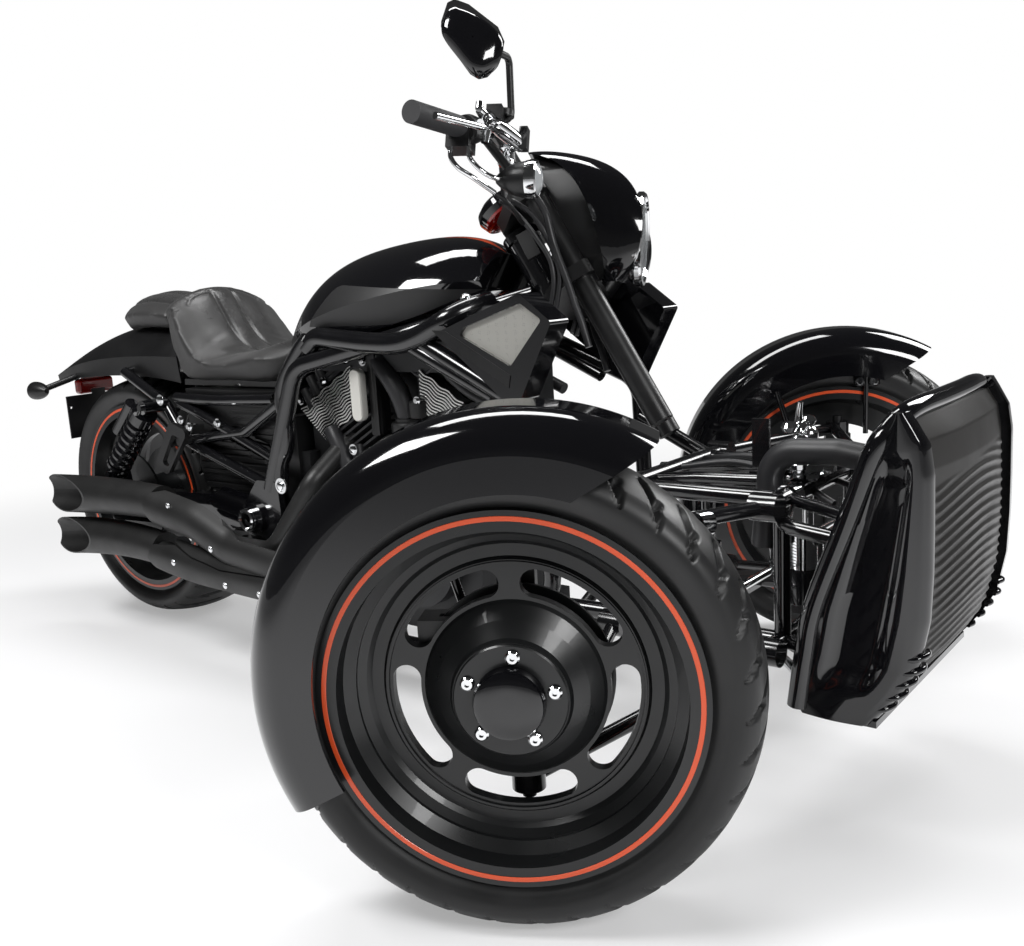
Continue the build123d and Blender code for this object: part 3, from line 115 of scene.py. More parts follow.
class Shape:
    """Collects simple forms into one mesh object."""

    def __init__(self, turn=no_turn):
        self.verts, self.faces, self.turn = [], [], turn

    def add(self, verts, faces):
        base = len(self.verts)
        self.verts += [tuple(v) for v in np.asarray(verts, float).reshape(-1, 3)]
        self.faces += [tuple(base + i for i in f) for f in faces]

    def grid(self, rows, close_u=False, close_v=False):
        """Surface through rows of points."""
        rows = np.asarray(rows, float)
        nu, nv = rows.shape[:2]
        faces = []
        for i in range(nu if close_u else nu - 1):
            for j in range(nv if close_v else nv - 1):
                a, b = i * nv + j, i * nv + (j + 1) % nv
                c, d = ((i + 1) % nu) * nv + (j + 1) % nv, ((i + 1) % nu) * nv + j
                faces.append((a, b, c, d))
        self.add(rows.reshape(-1, 3), faces)
        return self

    def skin(self, rows, ends=(0, -1)):
        """Closed skin through rings of points, with a face over each end ring named."""
        base, width = len(self.verts), len(rows[0])
        self.grid(rows, close_v=True)
        for end in ends:
            first = base + (end % len(rows)) * width
            self.faces.append(tuple(first + i for i in range(width)))

    def tube(self, points, radius, sides=10, smooth=0):
        """Round tube along a polyline, optionally smoothed into a curve."""
        points = np.asarray(points, float)
        if smooth:
            points = curve_through(points, smooth)
        radii = np.full(len(points), radius) if np.isscalar(radius) else np.asarray(radius, float)
        tangents = np.gradient(points, axis=0)
        tangents /= np.linalg.norm(tangents, axis=1)[:, None]
        up = np.array([0, 0, 1.0]) if abs(tangents[0][2]) < 0.9 else np.array([1.0, 0, 0])
        side = np.cross(tangents[0], up)
        rows = []
        for point, tangent, r in zip(points, tangents, radii):
            side = side - tangent * (side @ tangent)
            side /= np.linalg.norm(side)
            rows.append(point + r * circle(side, np.cross(tangent, side), sides))
        base = len(self.verts)
        self.grid(rows, close_v=True)
        self.faces.append(tuple(base + i for i in range(sides)))
        self.faces.append(tuple(base + (len(rows) - 1) * sides + i for i in reversed(range(sides))))

    def spin(self, profile, centre, axis, sides=48):
        """Profile of (along, radius) points spun about an axis through a centre."""
        axis = np.asarray(axis, float) / np.linalg.norm(axis)
        up = np.array([0, 0, 1.0]) if abs(axis[2]) < 0.9 else np.array([1.0, 0, 0])
        side = np.cross(up, axis)
        side /= np.linalg.norm(side)
        other = np.cross(axis, side)
        ring = circle(side, other, sides)
        rows = [np.asarray(centre) + axis * a + ring * max(r, 1e-4) for a, r in profile]
        return self.grid(rows, close_v=True)

    def bolt(self, centre, axis, radius=6.0, height=5.0, sides=6):
        """Hexagon or round bolt head on a washer."""
        washer, washer_r = 1.5, radius * 1.45
        self.spin([(0, washer_r), (washer, washer_r), (washer, radius * 0.9)], centre, axis, 20)
        self.spin([(washer, radius), (height * 0.85, radius), (height, radius * 0.8), (height, 0)], centre, axis,
            sides)

    def box(self, centre, size, axes=None):
        """Box of a given size, along three axes of its own if they are given."""
        axes = np.eye(3) if axes is None else np.asarray(axes, float)
        half = np.asarray(size, float) / 2
        corners = [np.asarray(centre) + sx * half[0] * axes[0] + sy * half[1] * axes[1] + sz * half[2] * axes[2]
            for sx in (-1, 1) for sy in (-1, 1) for sz in (-1, 1)]
        self.add(corners, [(0, 1, 3, 2), (4, 6, 7, 5), (0, 4, 5, 1), (2, 3, 7, 6), (0, 2, 6, 4), (1, 5, 7, 3)])
        return self

    def make(self, name, mat, body="chassis", slot=None, sharp=35.0):
        """The scene object, riding one body. The slot argument is not used."""
        slot = slot or mat
        mesh = bpy.data.meshes.new(name)
        mesh.from_pydata([tuple(v) for v in place(self.turn(self.verts))], [], self.faces)
        mesh.validate()
        flip_outward(mesh)
        mesh.shade_smooth()
        mesh.set_sharp_from_angle(angle=math.radians(sharp))
        obj = show(name, mesh)
        obj.data.materials.append(MATS[mat])
        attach(obj, body)
        return obj


def show(name, data):
    """New object in the scene."""
    obj = bpy.data.objects.new(name, data)
    bpy.context.scene.collection.objects.link(obj)
    return obj


def flip_outward(mesh):
    """All faces of a mesh turned outward."""
    bm = bmesh.new()
    bm.from_mesh(mesh)
    bmesh.ops.recalc_face_normals(bm, faces=bm.faces)
    bm.to_mesh(mesh)
    bm.free()


def curve_through(points, per=8):
    """Smooth curve through the points, with `per` steps between two of them."""
    points = np.asarray(points, float)
    padded = np.vstack([2 * points[0] - points[1], points, 2 * points[-1] - points[-2]])
    out = []
    for i in range(len(points) - 1):
        p0, p1, p2, p3 = padded[i:i + 4]
        for t in np.linspace(0, 1, per, endpoint=False):
            out.append(0.5 * (2 * p1 + (p2 - p0) * t + (2 * p0 - 5 * p1 + 4 * p2 - p3) * t * t
                + (3 * p1 - p0 - 3 * p2 + p3) * t ** 3))
    out.append(points[-1])
    return np.array(out)


def row_at(table, z):
    """Values of a table at a height, between its rows."""
    return [np.interp(z, table[:, 0], column) for column in table.T[1:]]


# Materials

MATS = {}


def new_material(name, color, rough, metallic=0.0, coat=0.0):
    """Plain principled material, kept in MATS under its name."""
    mat = bpy.data.materials.new(name)
    mat.use_nodes = True
    tree = mat.node_tree
    shader = tree.nodes["Principled BSDF"]
    for key, value in (("Base Color", (*color, 1.0)), ("Roughness", rough), ("Metallic", metallic),
            ("Coat Weight", coat), ("Coat Roughness", 0.03), ("IOR", 1.5)):
        shader.inputs[key].default_value = value
    MATS[name] = mat
    return tree, shader


def node(tree, kind, **values):
    """New node with its inputs or its own settings given by name."""
    made = tree.nodes.new("ShaderNode" + kind)
    for key, value in values.items():
        if key in made.inputs:
            made.inputs[key].default_value = value
        else:
            setattr(made, key, value)
    return made


def coordinates(tree, kind="Object"):
    return node(tree, "TexCoord").outputs[kind]


def axes_of(tree, vector):
    made = node(tree, "SeparateXYZ")
    tree.links.new(vector, made.inputs[0])
    return made.outputs


def noise(tree, scale, detail=3.0):
    made = node(tree, "TexNoise", Scale=scale, Detail=detail)
    tree.links.new(coordinates(tree), made.inputs["Vector"])
    return made.outputs["Fac"]


def ramp(tree, source, low, high, out_low, out_high, shape="LINEAR"):
    limits = {"From Min": low, "From Max": high, "To Min": out_low, "To Max": out_high}
    made = node(tree, "MapRange", interpolation_type=shape, **limits)
    tree.links.new(source, made.inputs["Value"])
    return made.outputs["Result"]


def add_bump(tree, shader, height, strength, distance):
    bump = node(tree, "Bump", Strength=strength, Distance=distance)
    tree.links.new(height, bump.inputs["Height"])
    tree.links.new(bump.outputs["Normal"], shader.inputs["Normal"])


def vary(tree, shader, scale, rough_low, rough_high):
    """Uneven sheen from dust and handling."""
    tree.links.new(ramp(tree, noise(tree, scale), 0.3, 0.7, rough_low, rough_high), shader.inputs["Roughness"])


def mix_colors(tree, factor, first, second):
    made = node(tree, "Mix", data_type="RGBA")
    for key, color in (("A", first), ("B", second)):
        if isinstance(color, tuple):
            made.inputs[key].default_value = (*color, 1.0)
        else:
            tree.links.new(color, made.inputs[key])
    tree.links.new(factor, made.inputs["Factor"])
    return made.outputs["Result"]


def paint(name, color, low, high, metallic=0.0, coat=0.0, grain=900.0, depth=0.00004, strength=0.3, tint=0.25):
    """Painted, coated or metal finish: fine grain, uneven sheen and slightly uneven colour."""
    tree, shader = new_material(name, color, low, metallic, coat)
    vary(tree, shader, 14.0, low, high)
    darker = tuple(c * (1 - tint) for c in color)
    tree.links.new(mix_colors(tree, noise(tree, 6.0), color, darker), shader.inputs["Base Color"])
    add_bump(tree, shader, noise(tree, grain, 2.0), strength, depth)


BLACK = (0.004, 0.004, 0.005)
ORANGE = (0.72, 0.085, 0.02)
paint("gloss_black", BLACK, 0.05, 0.11, coat=0.6, grain=260.0, depth=0.00003, strength=0.12)
paint("frame_black", (0.005, 0.005, 0.006), 0.14, 0.22, coat=0.6, grain=300.0)
paint("satin_black", (0.008, 0.008, 0.0085), 0.3, 0.42)
paint("wheel_black", (0.008, 0.0085, 0.009), 0.27, 0.36, coat=0.15)
paint("engine_grey", (0.018, 0.0185, 0.02), 0.45, 0.6, grain=1500.0, depth=0.00015, strength=0.6)
paint("exhaust_black", (0.012, 0.012, 0.012), 0.4, 0.52, grain=1400.0, depth=0.0001)
paint("polished", (0.78, 0.78, 0.79), 0.12, 0.25, metallic=1.0, tint=0.1)
paint("chrome", (0.86, 0.87, 0.88), 0.04, 0.09, metallic=1.0, tint=0.05)
paint("bright_fin", (0.82, 0.82, 0.80), 0.2, 0.32, metallic=0.85, tint=0.1)
paint("mesh_silver", (0.78, 0.77, 0.72), 0.3, 0.45, metallic=0.35, tint=0.12)
paint("grip_rubber", (0.028, 0.028, 0.03), 0.6, 0.75, grain=1200.0, depth=0.0002)
paint("hose_rubber", (0.02, 0.02, 0.022), 0.38, 0.5, grain=700.0, depth=0.0001)
paint("belt_rubber", (0.02, 0.02, 0.02), 0.6, 0.75)
paint("nose_plastic", (0.024, 0.023, 0.022), 0.36, 0.46, grain=1100.0, depth=0.00012)
paint("core_metal", (0.03, 0.03, 0.03), 0.4, 0.6, metallic=0.5)
paint("red_lens", (0.28, 0.006, 0.004), 0.08, 0.16, coat=1.0)
paint("amber_orange", ORANGE, 0.3, 0.4, coat=0.3, tint=0.12)
paint("tyre_rubber", (0.009, 0.0092, 0.0095), 0.36, 0.5, grain=1600.0, depth=0.00012)
paint("brass_nut", (0.55, 0.36, 0.08), 0.25, 0.4, metallic=1.0)

glass_tree, glass_shader = new_material("lamp_glass", (0.75, 0.78, 0.8), 0.06, coat=0.5)
glass_shader.inputs["Transmission Weight"].default_value = 0.5
vary(glass_tree, glass_shader, 30.0, 0.04, 0.12)

# Tank: gloss black with an orange stripe along its crest and a charcoal panel on each side
tree, shader = new_material("tank_paint", BLACK, 0.07, coat=1.0)
spot = axes_of(tree, coordinates(tree))


def calc(tree, operation, a, b=None, c=None):
    made = node(tree, "Math", operation=operation)
    for socket, value in zip(made.inputs, (a, b, c)):
        if value is None:
            continue
        if isinstance(value, (int, float)):
            socket.default_value = value
        else:
            tree.links.new(value, socket)
    return made.outputs[0]


across = calc(tree, "ABSOLUTE", spot["X"])
along = calc(tree, "SUBTRACT", spot["Y"], SHIFT)
taper = calc(tree, "MULTIPLY_ADD", calc(tree, "ABSOLUTE", calc(tree, "ADD", along, 1.075)), -0.22, 0.028)
first = mix_colors(tree, calc(tree, "LESS_THAN", across, taper), BLACK, ORANGE)
# panel: between two bent lines that meet at the front, on the flanks only
rear_edge = calc(tree, "MULTIPLY_ADD", along, -1.1, -0.112)
front_edge = calc(tree, "MULTIPLY_ADD", along, 0.075, 0.921)
upper_edge = calc(tree, "SMOOTH_MIN", rear_edge, front_edge, 0.04)
lower_edge = calc(tree, "SMOOTH_MAX", 0.772, calc(tree, "MULTIPLY_ADD", along, -0.36, 0.396), 0.02)
below = calc(tree, "LESS_THAN", spot["Z"], upper_edge)
above = calc(tree, "GREATER_THAN", spot["Z"], lower_edge)
flank = calc(tree, "MULTIPLY", calc(tree, "MULTIPLY", below, above), calc(tree, "GREATER_THAN", across, 0.07))
tree.links.new(mix_colors(tree, flank, first, (0.014, 0.014, 0.0145)), shader.inputs["Base Color"])
tree.links.new(calc(tree, "MULTIPLY_ADD", flank, 0.38, 0.07), shader.inputs["Roughness"])
tree.links.new(calc(tree, "SUBTRACT", 1.0, flank), shader.inputs["Coat Weight"])
add_bump(tree, shader, noise(tree, 300.0, 2.0), 0.1, 0.00003)

# Leather: pebbled grain, smoother on the insert between the rim seams than on the skirts
tree, shader = new_material("seat_leather", (0.035, 0.034, 0.034), 0.45)
shader.inputs["Sheen Weight"].default_value = 0.1
cells = node(tree, "TexVoronoi", Scale=420.0)
tree.links.new(coordinates(tree), cells.inputs["Vector"])
grain_mix = calc(tree, "ADD", cells.outputs["Distance"], noise(tree, 60.0, 4.0))
add_bump(tree, shader, grain_mix, 0.35, 0.0005)
lateral = calc(tree, "ABSOLUTE", axes_of(tree, coordinates(tree))["X"])
sheen = calc(tree, "ADD", ramp(tree, lateral, 0.085, 0.115, 0.25, 0.45),
    ramp(tree, noise(tree, 25.0), 0.3, 0.7, 0.0, 0.08))
tree.links.new(sheen, shader.inputs["Roughness"])
tree.links.new(mix_colors(tree, noise(tree, 9.0), (0.027, 0.0265, 0.0265), (0.014, 0.0138, 0.0138)),
    shader.inputs["Base Color"])

# nodes whose look isn't that of their slot
NODE_MATS = {"tank_cover": "tank_paint", "fork_legs": "satin_black", "swingarm": "gloss_black"}
for entry in frame["record"]["subparts"]:
    name, slot = entry["node"], entry["material_slot"]
    obj = frame["nodes"].get(name)
    if obj is None:
        continue
    obj.data.materials.clear()
    obj.data.materials.append(MATS[NODE_MATS.get(name, slot)])


# Tyres with tread, in place of the plain CAD ones

TYRE_R = 325.0
BEAD_R, FLANGE_R = 232.0, 252.0
CROWN_SHARE, CROWN_RISE = 0.8, 15.0
GROOVES, GROOVE_HALF, GROOVE_DEPTH, GROOVE_SWEEP = 34, 5.0, 8.5, 0.17
DASH_HALF, DASH_DEPTH = 4.4, 6.5
TREAD_RUN = 22.0


def tyre_mesh(name, body, centre, width, seat_half, turn, cells=720):
    """Ring with a rounded crown, long curved grooves, small dashes and sidewall rings."""
    half = width / 2
    shoulder = TYRE_R - CROWN_RISE
    bulge = (BEAD_R + TYRE_R) / 2 + 8.0
    seat_r = FLANGE_R + 1.5
    outline = [(seat_half - 2, BEAD_R), (seat_half, seat_r)]
    for t in np.linspace(0, 1, 9)[1:]:
        outline.append((seat_half + (half - seat_half) * math.sin(t * math.pi / 2), seat_r + (bulge - seat_r) * t))
    for t in np.linspace(0, 1, 6)[1:]:
        outline.append((half - half * (1 - CROWN_SHARE) * t ** 2.2, bulge + (shoulder - bulge) * t))
    across = np.linspace(1, -1, int(width * CROWN_SHARE / 3.2))[1:-1]
    crown = [(half * CROWN_SHARE * v, shoulder + CROWN_RISE * (1 - v * v)) for v in across]
    profile = np.array(outline + crown + [(-a, r) for a, r in reversed(outline)])
    lateral, radii = profile[None, :, 0], profile[None, :, 1]
    ang = np.arange(cells)[:, None] * 2 * math.pi / cells
    pitch = 2 * math.pi / GROOVES
    depth = np.zeros((cells, len(profile)))
    for sign in (-1, 1):
        share = lateral / half * sign
        offset = 0.5 * pitch if sign < 0 else 0
        phase = (ang - GROOVE_SWEEP * np.clip(share, 0, 1) ** 1.6 + offset) % pitch
        gap = np.minimum(phase, pitch - phase) * TYRE_R
        width_here = GROOVE_HALF * step(share, 0.10, 0.12) * step(share, 0.99, -0.12)
        depth += GROOVE_DEPTH * np.clip(1.5 - gap / np.maximum(width_here, 0.01), 0, 1) * (width_here > 0.2)
        phase = (ang - 0.5 * pitch + offset - 0.03 * share) % pitch
        gap = np.minimum(phase, pitch - phase) * TYRE_R
        depth += DASH_DEPTH * np.clip(1.4 - gap / DASH_HALF, 0, 1) * (np.abs(share - 0.62) < 0.08)
    depth *= radii > shoulder - TREAD_RUN
    radial = radii - depth
    rings = ((radii > 262) & (radii < 266)) | ((radii > 283) & (radii < 286))
    x = np.repeat(lateral + rings * np.sign(lateral) * 0.8, cells, axis=0) + centre[0]
    y = radial * np.cos(ang) + centre[1]
    z = radial * np.sin(ang) + centre[2]
    shape = Shape(turn)
    shape.grid(np.stack([x, y, z], axis=-1), close_u=True, close_v=True)
    return shape.make(name, "tyre_rubber", body, sharp=50)


for side, name in SIDES:
    tyre = tyre_mesh(f"treaded_tyre_front_{name}", f"wheel_front_{name}", (side * WHEEL_X, FRONT_Y, AXLE_Z), 150.0,
        60.0, wheel_turn(side))
    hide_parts(f"tyre_front_{name}")
tyre = tyre_mesh("treaded_tyre_rear", "wheel_rear", (0, 0, AXLE_Z), 240.0, 103.0, no_turn, cells=640)
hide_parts("tyre_rear")


# Wheel trim: pinstripe, hub flange with five bolts, gloss cap

def wheel_trim(name, body, centre, side, lip, hub, turn, outer=True):
    """Trim of one face of a wheel: lip and hub are its distances from the middle plane."""
    out = np.array([side, 0.0, 0.0])
    Shape(turn).spin([(lip + 0.4, 238.0), (lip + 0.9, 238.5), (lip + 0.9, 244.0), (lip + 0.4, 244.5)], centre, out,
        160).make(f"pinstripe_{name}", "amber_orange", body, "wheel_black")
    if not outer:
        return
    flange = Shape(turn)
    flange.spin([(hub - 6, 75), (hub + 2, 75), (hub + 4, 73), (hub + 4, 40)], centre, out, 72)
    flange.spin([(lip - 58, 172.5), (lip - 54, 172), (lip - 54, 169), (lip - 60, 168)], centre, out, 120)
    flange.make(f"hub_flange_{name}", "wheel_black", body)
    Shape(turn).spin([(hub + 2, 47), (hub + 18, 47), (hub + 24, 44), (hub + 27, 38), (hub + 28.5, 20),
        (hub + 29, 0)], centre, out, 72).make(f"hub_cap_{name}", "gloss_black", body, "wheel_black")
    bolts = Shape(turn)
    for index in range(5):
        angle = math.radians(72 * index + 96)
        spot = np.array(centre) + out * (hub + 3.5) + 59.0 * np.array([0, math.cos(angle), math.sin(angle)])
        bolts.spin([(0, 9.5), (4, 9.5), (6.5, 7.0), (6.5, 3.6), (3.5, 3.4), (3.5, 0)], spot, out, 22)
    bolts.make(f"hub_bolts_{name}", "chrome", body)


for side, name in SIDES:
    centre = (side * WHEEL_X, FRONT_Y, AXLE_Z)
    wheel_trim(f"front_{name}", f"wheel_front_{name}", centre, side, 67.0, 50.0, wheel_turn(side))
    wheel_trim(f"front_{name}_inner", f"wheel_front_{name}", centre, -side, 67.0, 50.0, wheel_turn(side),
        outer=False)
for side, name in SIDES:
    wheel_trim(f"rear_{name}", "wheel_rear", (0, 0, AXLE_Z), side, 110.0, 60.0, no_turn, outer=False)


# Engine: finned heads with bright wavy edges, bar between the banks, throttle bodies, hoses

CRANK = np.array([0, -980.0, 350.0])
BANK_LEAN = math.radians(30.0)
FIN_PITCH = 6.6
FIN_WAVE, FIN_WAVE_LENGTH = 2.2, 46.0


def bank_point(lean, x, run, rise):
    """Point of one bank: rise along the cylinder, run square to it towards the other bank."""
    up, out = math.cos(BANK_LEAN), math.sin(BANK_LEAN)
    return CRANK + np.array([x, lean * (out * rise - up * run), up * rise + out * run])


def fin_stack(lean, side, rises, low_run, high_run):
    """Stack of wavy plates; the runs are their two ends at the lowest and highest plate."""
    plates, edges = Shape(), Shape()
    for rise in np.arange(rises[0], rises[1], FIN_PITCH):
        share = (rise - rises[0]) / (rises[1] - rises[0])
        first, last = [a + share * (b - a) for a, b in zip(low_run, high_run)]
        outer, rim = [], []
        for run in np.linspace(first, last, 30):
            high = rise + FIN_WAVE * math.sin(run * 2 * math.pi / FIN_WAVE_LENGTH)
            for rows, section in ((outer, ((92, -1.2), (119, -1.2), (119, 1.2), (92, 1.2))),
                    (rim, ((118.8, -1.7), (120.6, -1.4), (120.6, 1.4), (118.8, 1.7)))):
                rows.append([bank_point(lean, side * x, run, high + dz) for x, dz in section])
        plates.grid(outer, close_v=True)
        edges.grid(rim, close_v=True)
    return plates, edges


for lean, bank, rises, low_run, high_run in ((1, "rear", (262, 352), (-98, 8), (-128, 70)),
        (-1, "front", (226, 330), (-70, 40), (-30, 98))):
    for side, name in SIDES:
        plates, edges = fin_stack(lean, side, rises, low_run, high_run)
        plates.make(f"{bank}_fin_plates_{name}", "engine_grey")
        edges.make(f"{bank}_fin_edges_{name}", "bright_fin", slot="polished")

core = Shape()
for y, z, size in ((-935, 560, (150, 330, 230)), (-760, 560, (190, 120, 170)), (-1130, 600, (190, 200, 150)),
        (-950, 705, (230, 420, 60)), (-640, 400, (250, 150, 190))):
    core.box((0, y, z), size)
core.make("engine_inner_block", "engine_grey")

HEAD_AXES = [(1, 0, 0), (0, math.cos(BANK_LEAN), -math.sin(BANK_LEAN)),
    (0, math.sin(BANK_LEAN), math.cos(BANK_LEAN))]
BAR_Y, BAR_Z, BAR_HALF, BAR_R = -908, 629.5, 39, 15.5
# points, radius, sides and smoothing of the hoses on one side
ENGINE_HOSES = [
    (((104, -930, 712), (112, -946, 690), (116, -975, 662), (116, -1000, 626), (114, -1016, 580)), 21, 20, 8),
    (((96, -1040, 716), (104, -1052, 690), (106, -1056, 650), (104, -1050, 616)), 10, 14, 6),
    (((100, -1000, 716), (108, -1010, 700), (110, -1030, 680), (112, -1062, 668), (110, -1100, 690)), 5, 10, 6),
    (((120, -790, 550), (124, -812, 520), (126, -834, 480), (124, -850, 430)), 19, 18, 6),
    (((118, -866, 520), (124, -872, 480), (126, -880, 430)), 13, 16, 6),
    (((108, -1112, 700), (118, -1140, 672), (120, -1190, 640), (118, -1240, 618)), 12, 14, 6),
]
for side, name in SIDES:
    cover = Shape()
    for rise in (362, 372):
        cover.box(bank_point(1, side * 92, -36, rise), (44, 130, 9), HEAD_AXES)
    for run, rise in ((-96, 352), (-64, 366), (-30, 376)):
        cover.tube([bank_point(1, side * 112, run, rise - 16), bank_point(1, side * 112, run, rise + 30)], 11.5, 16)
    cover.box((side * 112, -935, 640), (36, 22, 190))
    cover.tube([(side * 118, -935, 545), (side * 118, -932, 700)], 13, 18)
    cover.make(f"head_cover_{name}", "satin_black")
    bar = Shape()
    rounded = []
    for index in range(48):
        angle = 2 * math.pi * index / 48
        middle = BAR_Z + (BAR_HALF if math.sin(angle) > 0 else -BAR_HALF)
        rounded.append((BAR_Y + BAR_R * math.cos(angle), middle + BAR_R * math.sin(angle)))
    rows = []
    for x, scale in ((136, 0.94), (138, 1.0), (150, 1.0), (153, 0.95), (154.5, 0.84)):
        rows.append([(side * x, BAR_Y + (y - BAR_Y) * scale, BAR_Z + (z - BAR_Z) * (1 - (1 - scale) * 0.28))
            for y, z in rounded])
    bar.skin(rows, ends=(-1,))
    bar.make(f"coil_cover_{name}", "mesh_silver", slot="polished")
    throttle = Shape()
    throttle.spin([(0, 0), (0, 36), (3, 39), (52, 39), (55, 36), (55, 30), (62, 30), (62, 0)],
        (side * 112, -1018, 520), UP, 40)
    throttle.spin([(0, 0), (0, 24), (30, 24), (34, 20), (34, 0)], (side * 112, -1050, 585), UP, 32)
    throttle.box((side * 116, -1000, 500), (60, 120, 40))
    throttle.make(f"throttle_body_{name}", "satin_black")
    hose = Shape()
    for line, radius, sides, smooth in ENGINE_HOSES:
        hose.tube(mirror(side, line), radius, sides, smooth=smooth)
    hose.make(f"engine_hoses_{name}", "hose_rubber")
    small = Shape()
    for y, z, x, radius in ((-904, 697, 122, 7), (-777, 654, 121, 6), (-699, 608, 121, 6), (-851, 699, 121, 6),
            (-1058, 620, 130, 6), (-869, 512, 136, 8)):
        small.bolt((side * x, y, z), (side, 0, 0), radius, 6)
    small.make(f"engine_bolts_{name}", "chrome")
brass = Shape()
for side in (-1, 1):
    brass.bolt((side * 100, -998, 640), (side, 0, 0), 7, 12)
brass.make("engine_fittings", "brass_nut", slot="chrome")


# Frame rails beside the tank, engine side panels, ribbed covers and frame bolts

def ribbed_panel(side, outline, x, ribs, thickness=6.0):
    """Flat panel with raised level ribs, its outline given as (y, z) in order."""
    panel = Shape()
    outline = np.asarray(outline, float)
    count = len(outline)
    front = [(side * (x + thickness), y, z) for y, z in outline]
    back = [(side * x, y, z) for y, z in outline]
    panel.add(front + back, [tuple(range(count)), tuple(reversed(range(count, 2 * count)))]
        + [(i, (i + 1) % count, count + (i + 1) % count, count + i) for i in range(count)])
    z_low, z_high = outline[:, 1].min(), outline[:, 1].max()
    for index in range(ribs):
        z = z_low + (index + 0.8) * (z_high - z_low) / (ribs + 0.6)
        crossings = []
        for (y0, z0), (y1, z1) in zip(outline, np.roll(outline, -1, axis=0)):
            if (z0 - z) * (z1 - z) < 0:
                crossings.append(y0 + (y1 - y0) * (z - z0) / (z1 - z0))
        if len(crossings) < 2:
            continue
        first, last = min(crossings) + 7, max(crossings) - 7
        if last - first < 20:
            continue
        rows = []
        for y in (first, first + 4, last - 4, last):
            rise = 0.0 if y in (first, last) else 3.6
            rows.append([(side * (x + thickness + out), y, z + high)
                for out, high in ((-0.5, -6.5), (rise, -4.5), (rise, 4.5), (-0.5, 6.5))])
        panel.grid(rows)
    return panel


RAIL_RUN = [(-806, 730), (-840, 750), (-903, 746), (-989, 739), (-1070, 738), (-1130, 752), (-1180, 773)]
RAIL_END = [(166, -1204, 787), (132, -1222, 800), (92, -1228, 806)]
DOWN_RUN = [
    (-813, 748), (-784, 722), (-735, 668), (-714, 618), (-722, 566), (-712, 516), (-690, 476), (-682, 430),
]
for side, name in SIDES:
    rail = Shape()
    points = [(side * 180, y, z) for y, z in RAIL_RUN] + mirror(side, RAIL_END)
    rail.tube(points, 21, 22, smooth=8)
    rail.tube([(side * 186, y, z) for y, z in DOWN_RUN], 17, 20, smooth=8)
    rail.tube([(side * 176, -1084, 738), (side * 176, -1296, 640)], 14, 18)
    rail.make(f"frame_cover_{name}", "frame_black")
    ribbed_panel(side, [(-470, 566), (-481, 590), (-655, 602), (-676, 560), (-668, 500), (-628, 506), (-502, 545)],
        146, 6).make(f"upper_side_cover_{name}", "satin_black")
    ribbed_panel(side, [(-344, 522), (-395, 534), (-631, 460), (-640, 402), (-560, 388), (-389, 388), (-350, 402),
        (-338, 450)], 142, 8).make(f"lower_side_cover_{name}", "satin_black")
    Shape().box((side * 70, -520, 480), (130, 340, 190)).make(f"battery_case_{name}", "satin_black")
    band = Shape()
    outline = [(-1190, 764), (-1222, 762), (-1366, 684), (-1361, 662), (-1216, 742)]
    outer = [(side * 215.5, y, z) for y, z in outline]
    inner = [(side * 212.5, y, z) for y, z in outline]
    band.add(outer + inner, [(0, 1, 2, 3, 4)] + [(i, (i + 1) % 5, 5 + (i + 1) % 5, 5 + i) for i in range(5)])
    band.make(f"intake_band_{name}", "satin_black")
    bolts = Shape()
    bolts.bolt((side * 228, -736, 441), (side, 0, 0), 9, 8, 24)
    bolts.spin([(0, 17), (5, 17), (5, 12), (2, 11), (2, 0)], (side * 226, -736, 441), (side, 0, 0), 30)
    bolts.spin([(0, 25), (6, 25), (9, 21), (4, 18), (2, 12), (4, 0)], (side * 228.2, -607, 354), (side, 0, 0), 40)
    for y, z in ((-478, 560), (-785, 712)):
        bolts.bolt((side * 186, y, z), (side, 0, 0), 7, 8)
    bolts.bolt((side * 146, -1216, 818), (side * 0.5, -0.2, 0.85), 7, 6, 24)
    bolts.make(f"frame_bolts_{name}", "chrome")


# Intake mesh: fine woven wires over the coarse grille

WIRE_PITCH, WIRE_X = 3.4, 206.9
OPENING = np.array([(-1253, 754), (-1266, 768), (-1394, 807), (-1438, 778), (-1366, 699)], float)


def crossing_span(direction, offset):
    """Where a line with a normal direction and offset crosses the opening."""
    normal = np.array([-direction[1], direction[0]])
    found = []
    for a, b in zip(OPENING, np.roll(OPENING, -1, axis=0)):
        da, db = a @ normal - offset, b @ normal - offset
        if da * db < 0:
            found.append((a + (b - a) * da / (da - db)) @ direction)
    return (min(found), max(found)) if len(found) == 2 else None


for side, name in SIDES:
    wires = Shape()
    for angle in (17.0, 107.0):
        direction = np.array([math.cos(math.radians(angle)), math.sin(math.radians(angle))])
        normal = np.array([-direction[1], direction[0]])
        offsets = OPENING @ normal
        for offset in np.arange(offsets.min() + 2, offsets.max() - 1, WIRE_PITCH):
            span = crossing_span(direction, offset)
            if span is None:
                continue
            middle = direction * (span[0] + span[1]) / 2 + normal * offset
            wires.box((side * WIRE_X, middle[0], middle[1]), (1.0, span[1] - span[0], 1.9),
                [(1, 0, 0), (0, *direction), (0, *normal)])
    wires.make(f"intake_mesh_{name}", "mesh_silver")


# Handlebar group: lamp trim, liner, signal rings, levers, cables and hoses

LAMP_Z = 918.0
LAMP_RING = [(-1462, 82.6), (-1466, 87.5), (-1474, 87.5), (-1478.5, 84), (-1479, 78), (-1475.4, 75)]
# height, rear edge, front edge, half widths at the rear, middle and front of the cowl
COWL_ROWS = np.array([
    (822, -1410, -1452, 62, 68, 56), (866, -1396, -1474, 84, 92, 84), (965, -1346, -1474, 96, 106, 90),
    (1030, -1292, -1424, 86, 94, 70), (1066, -1258, -1330, 52, 56, 44),
], float)

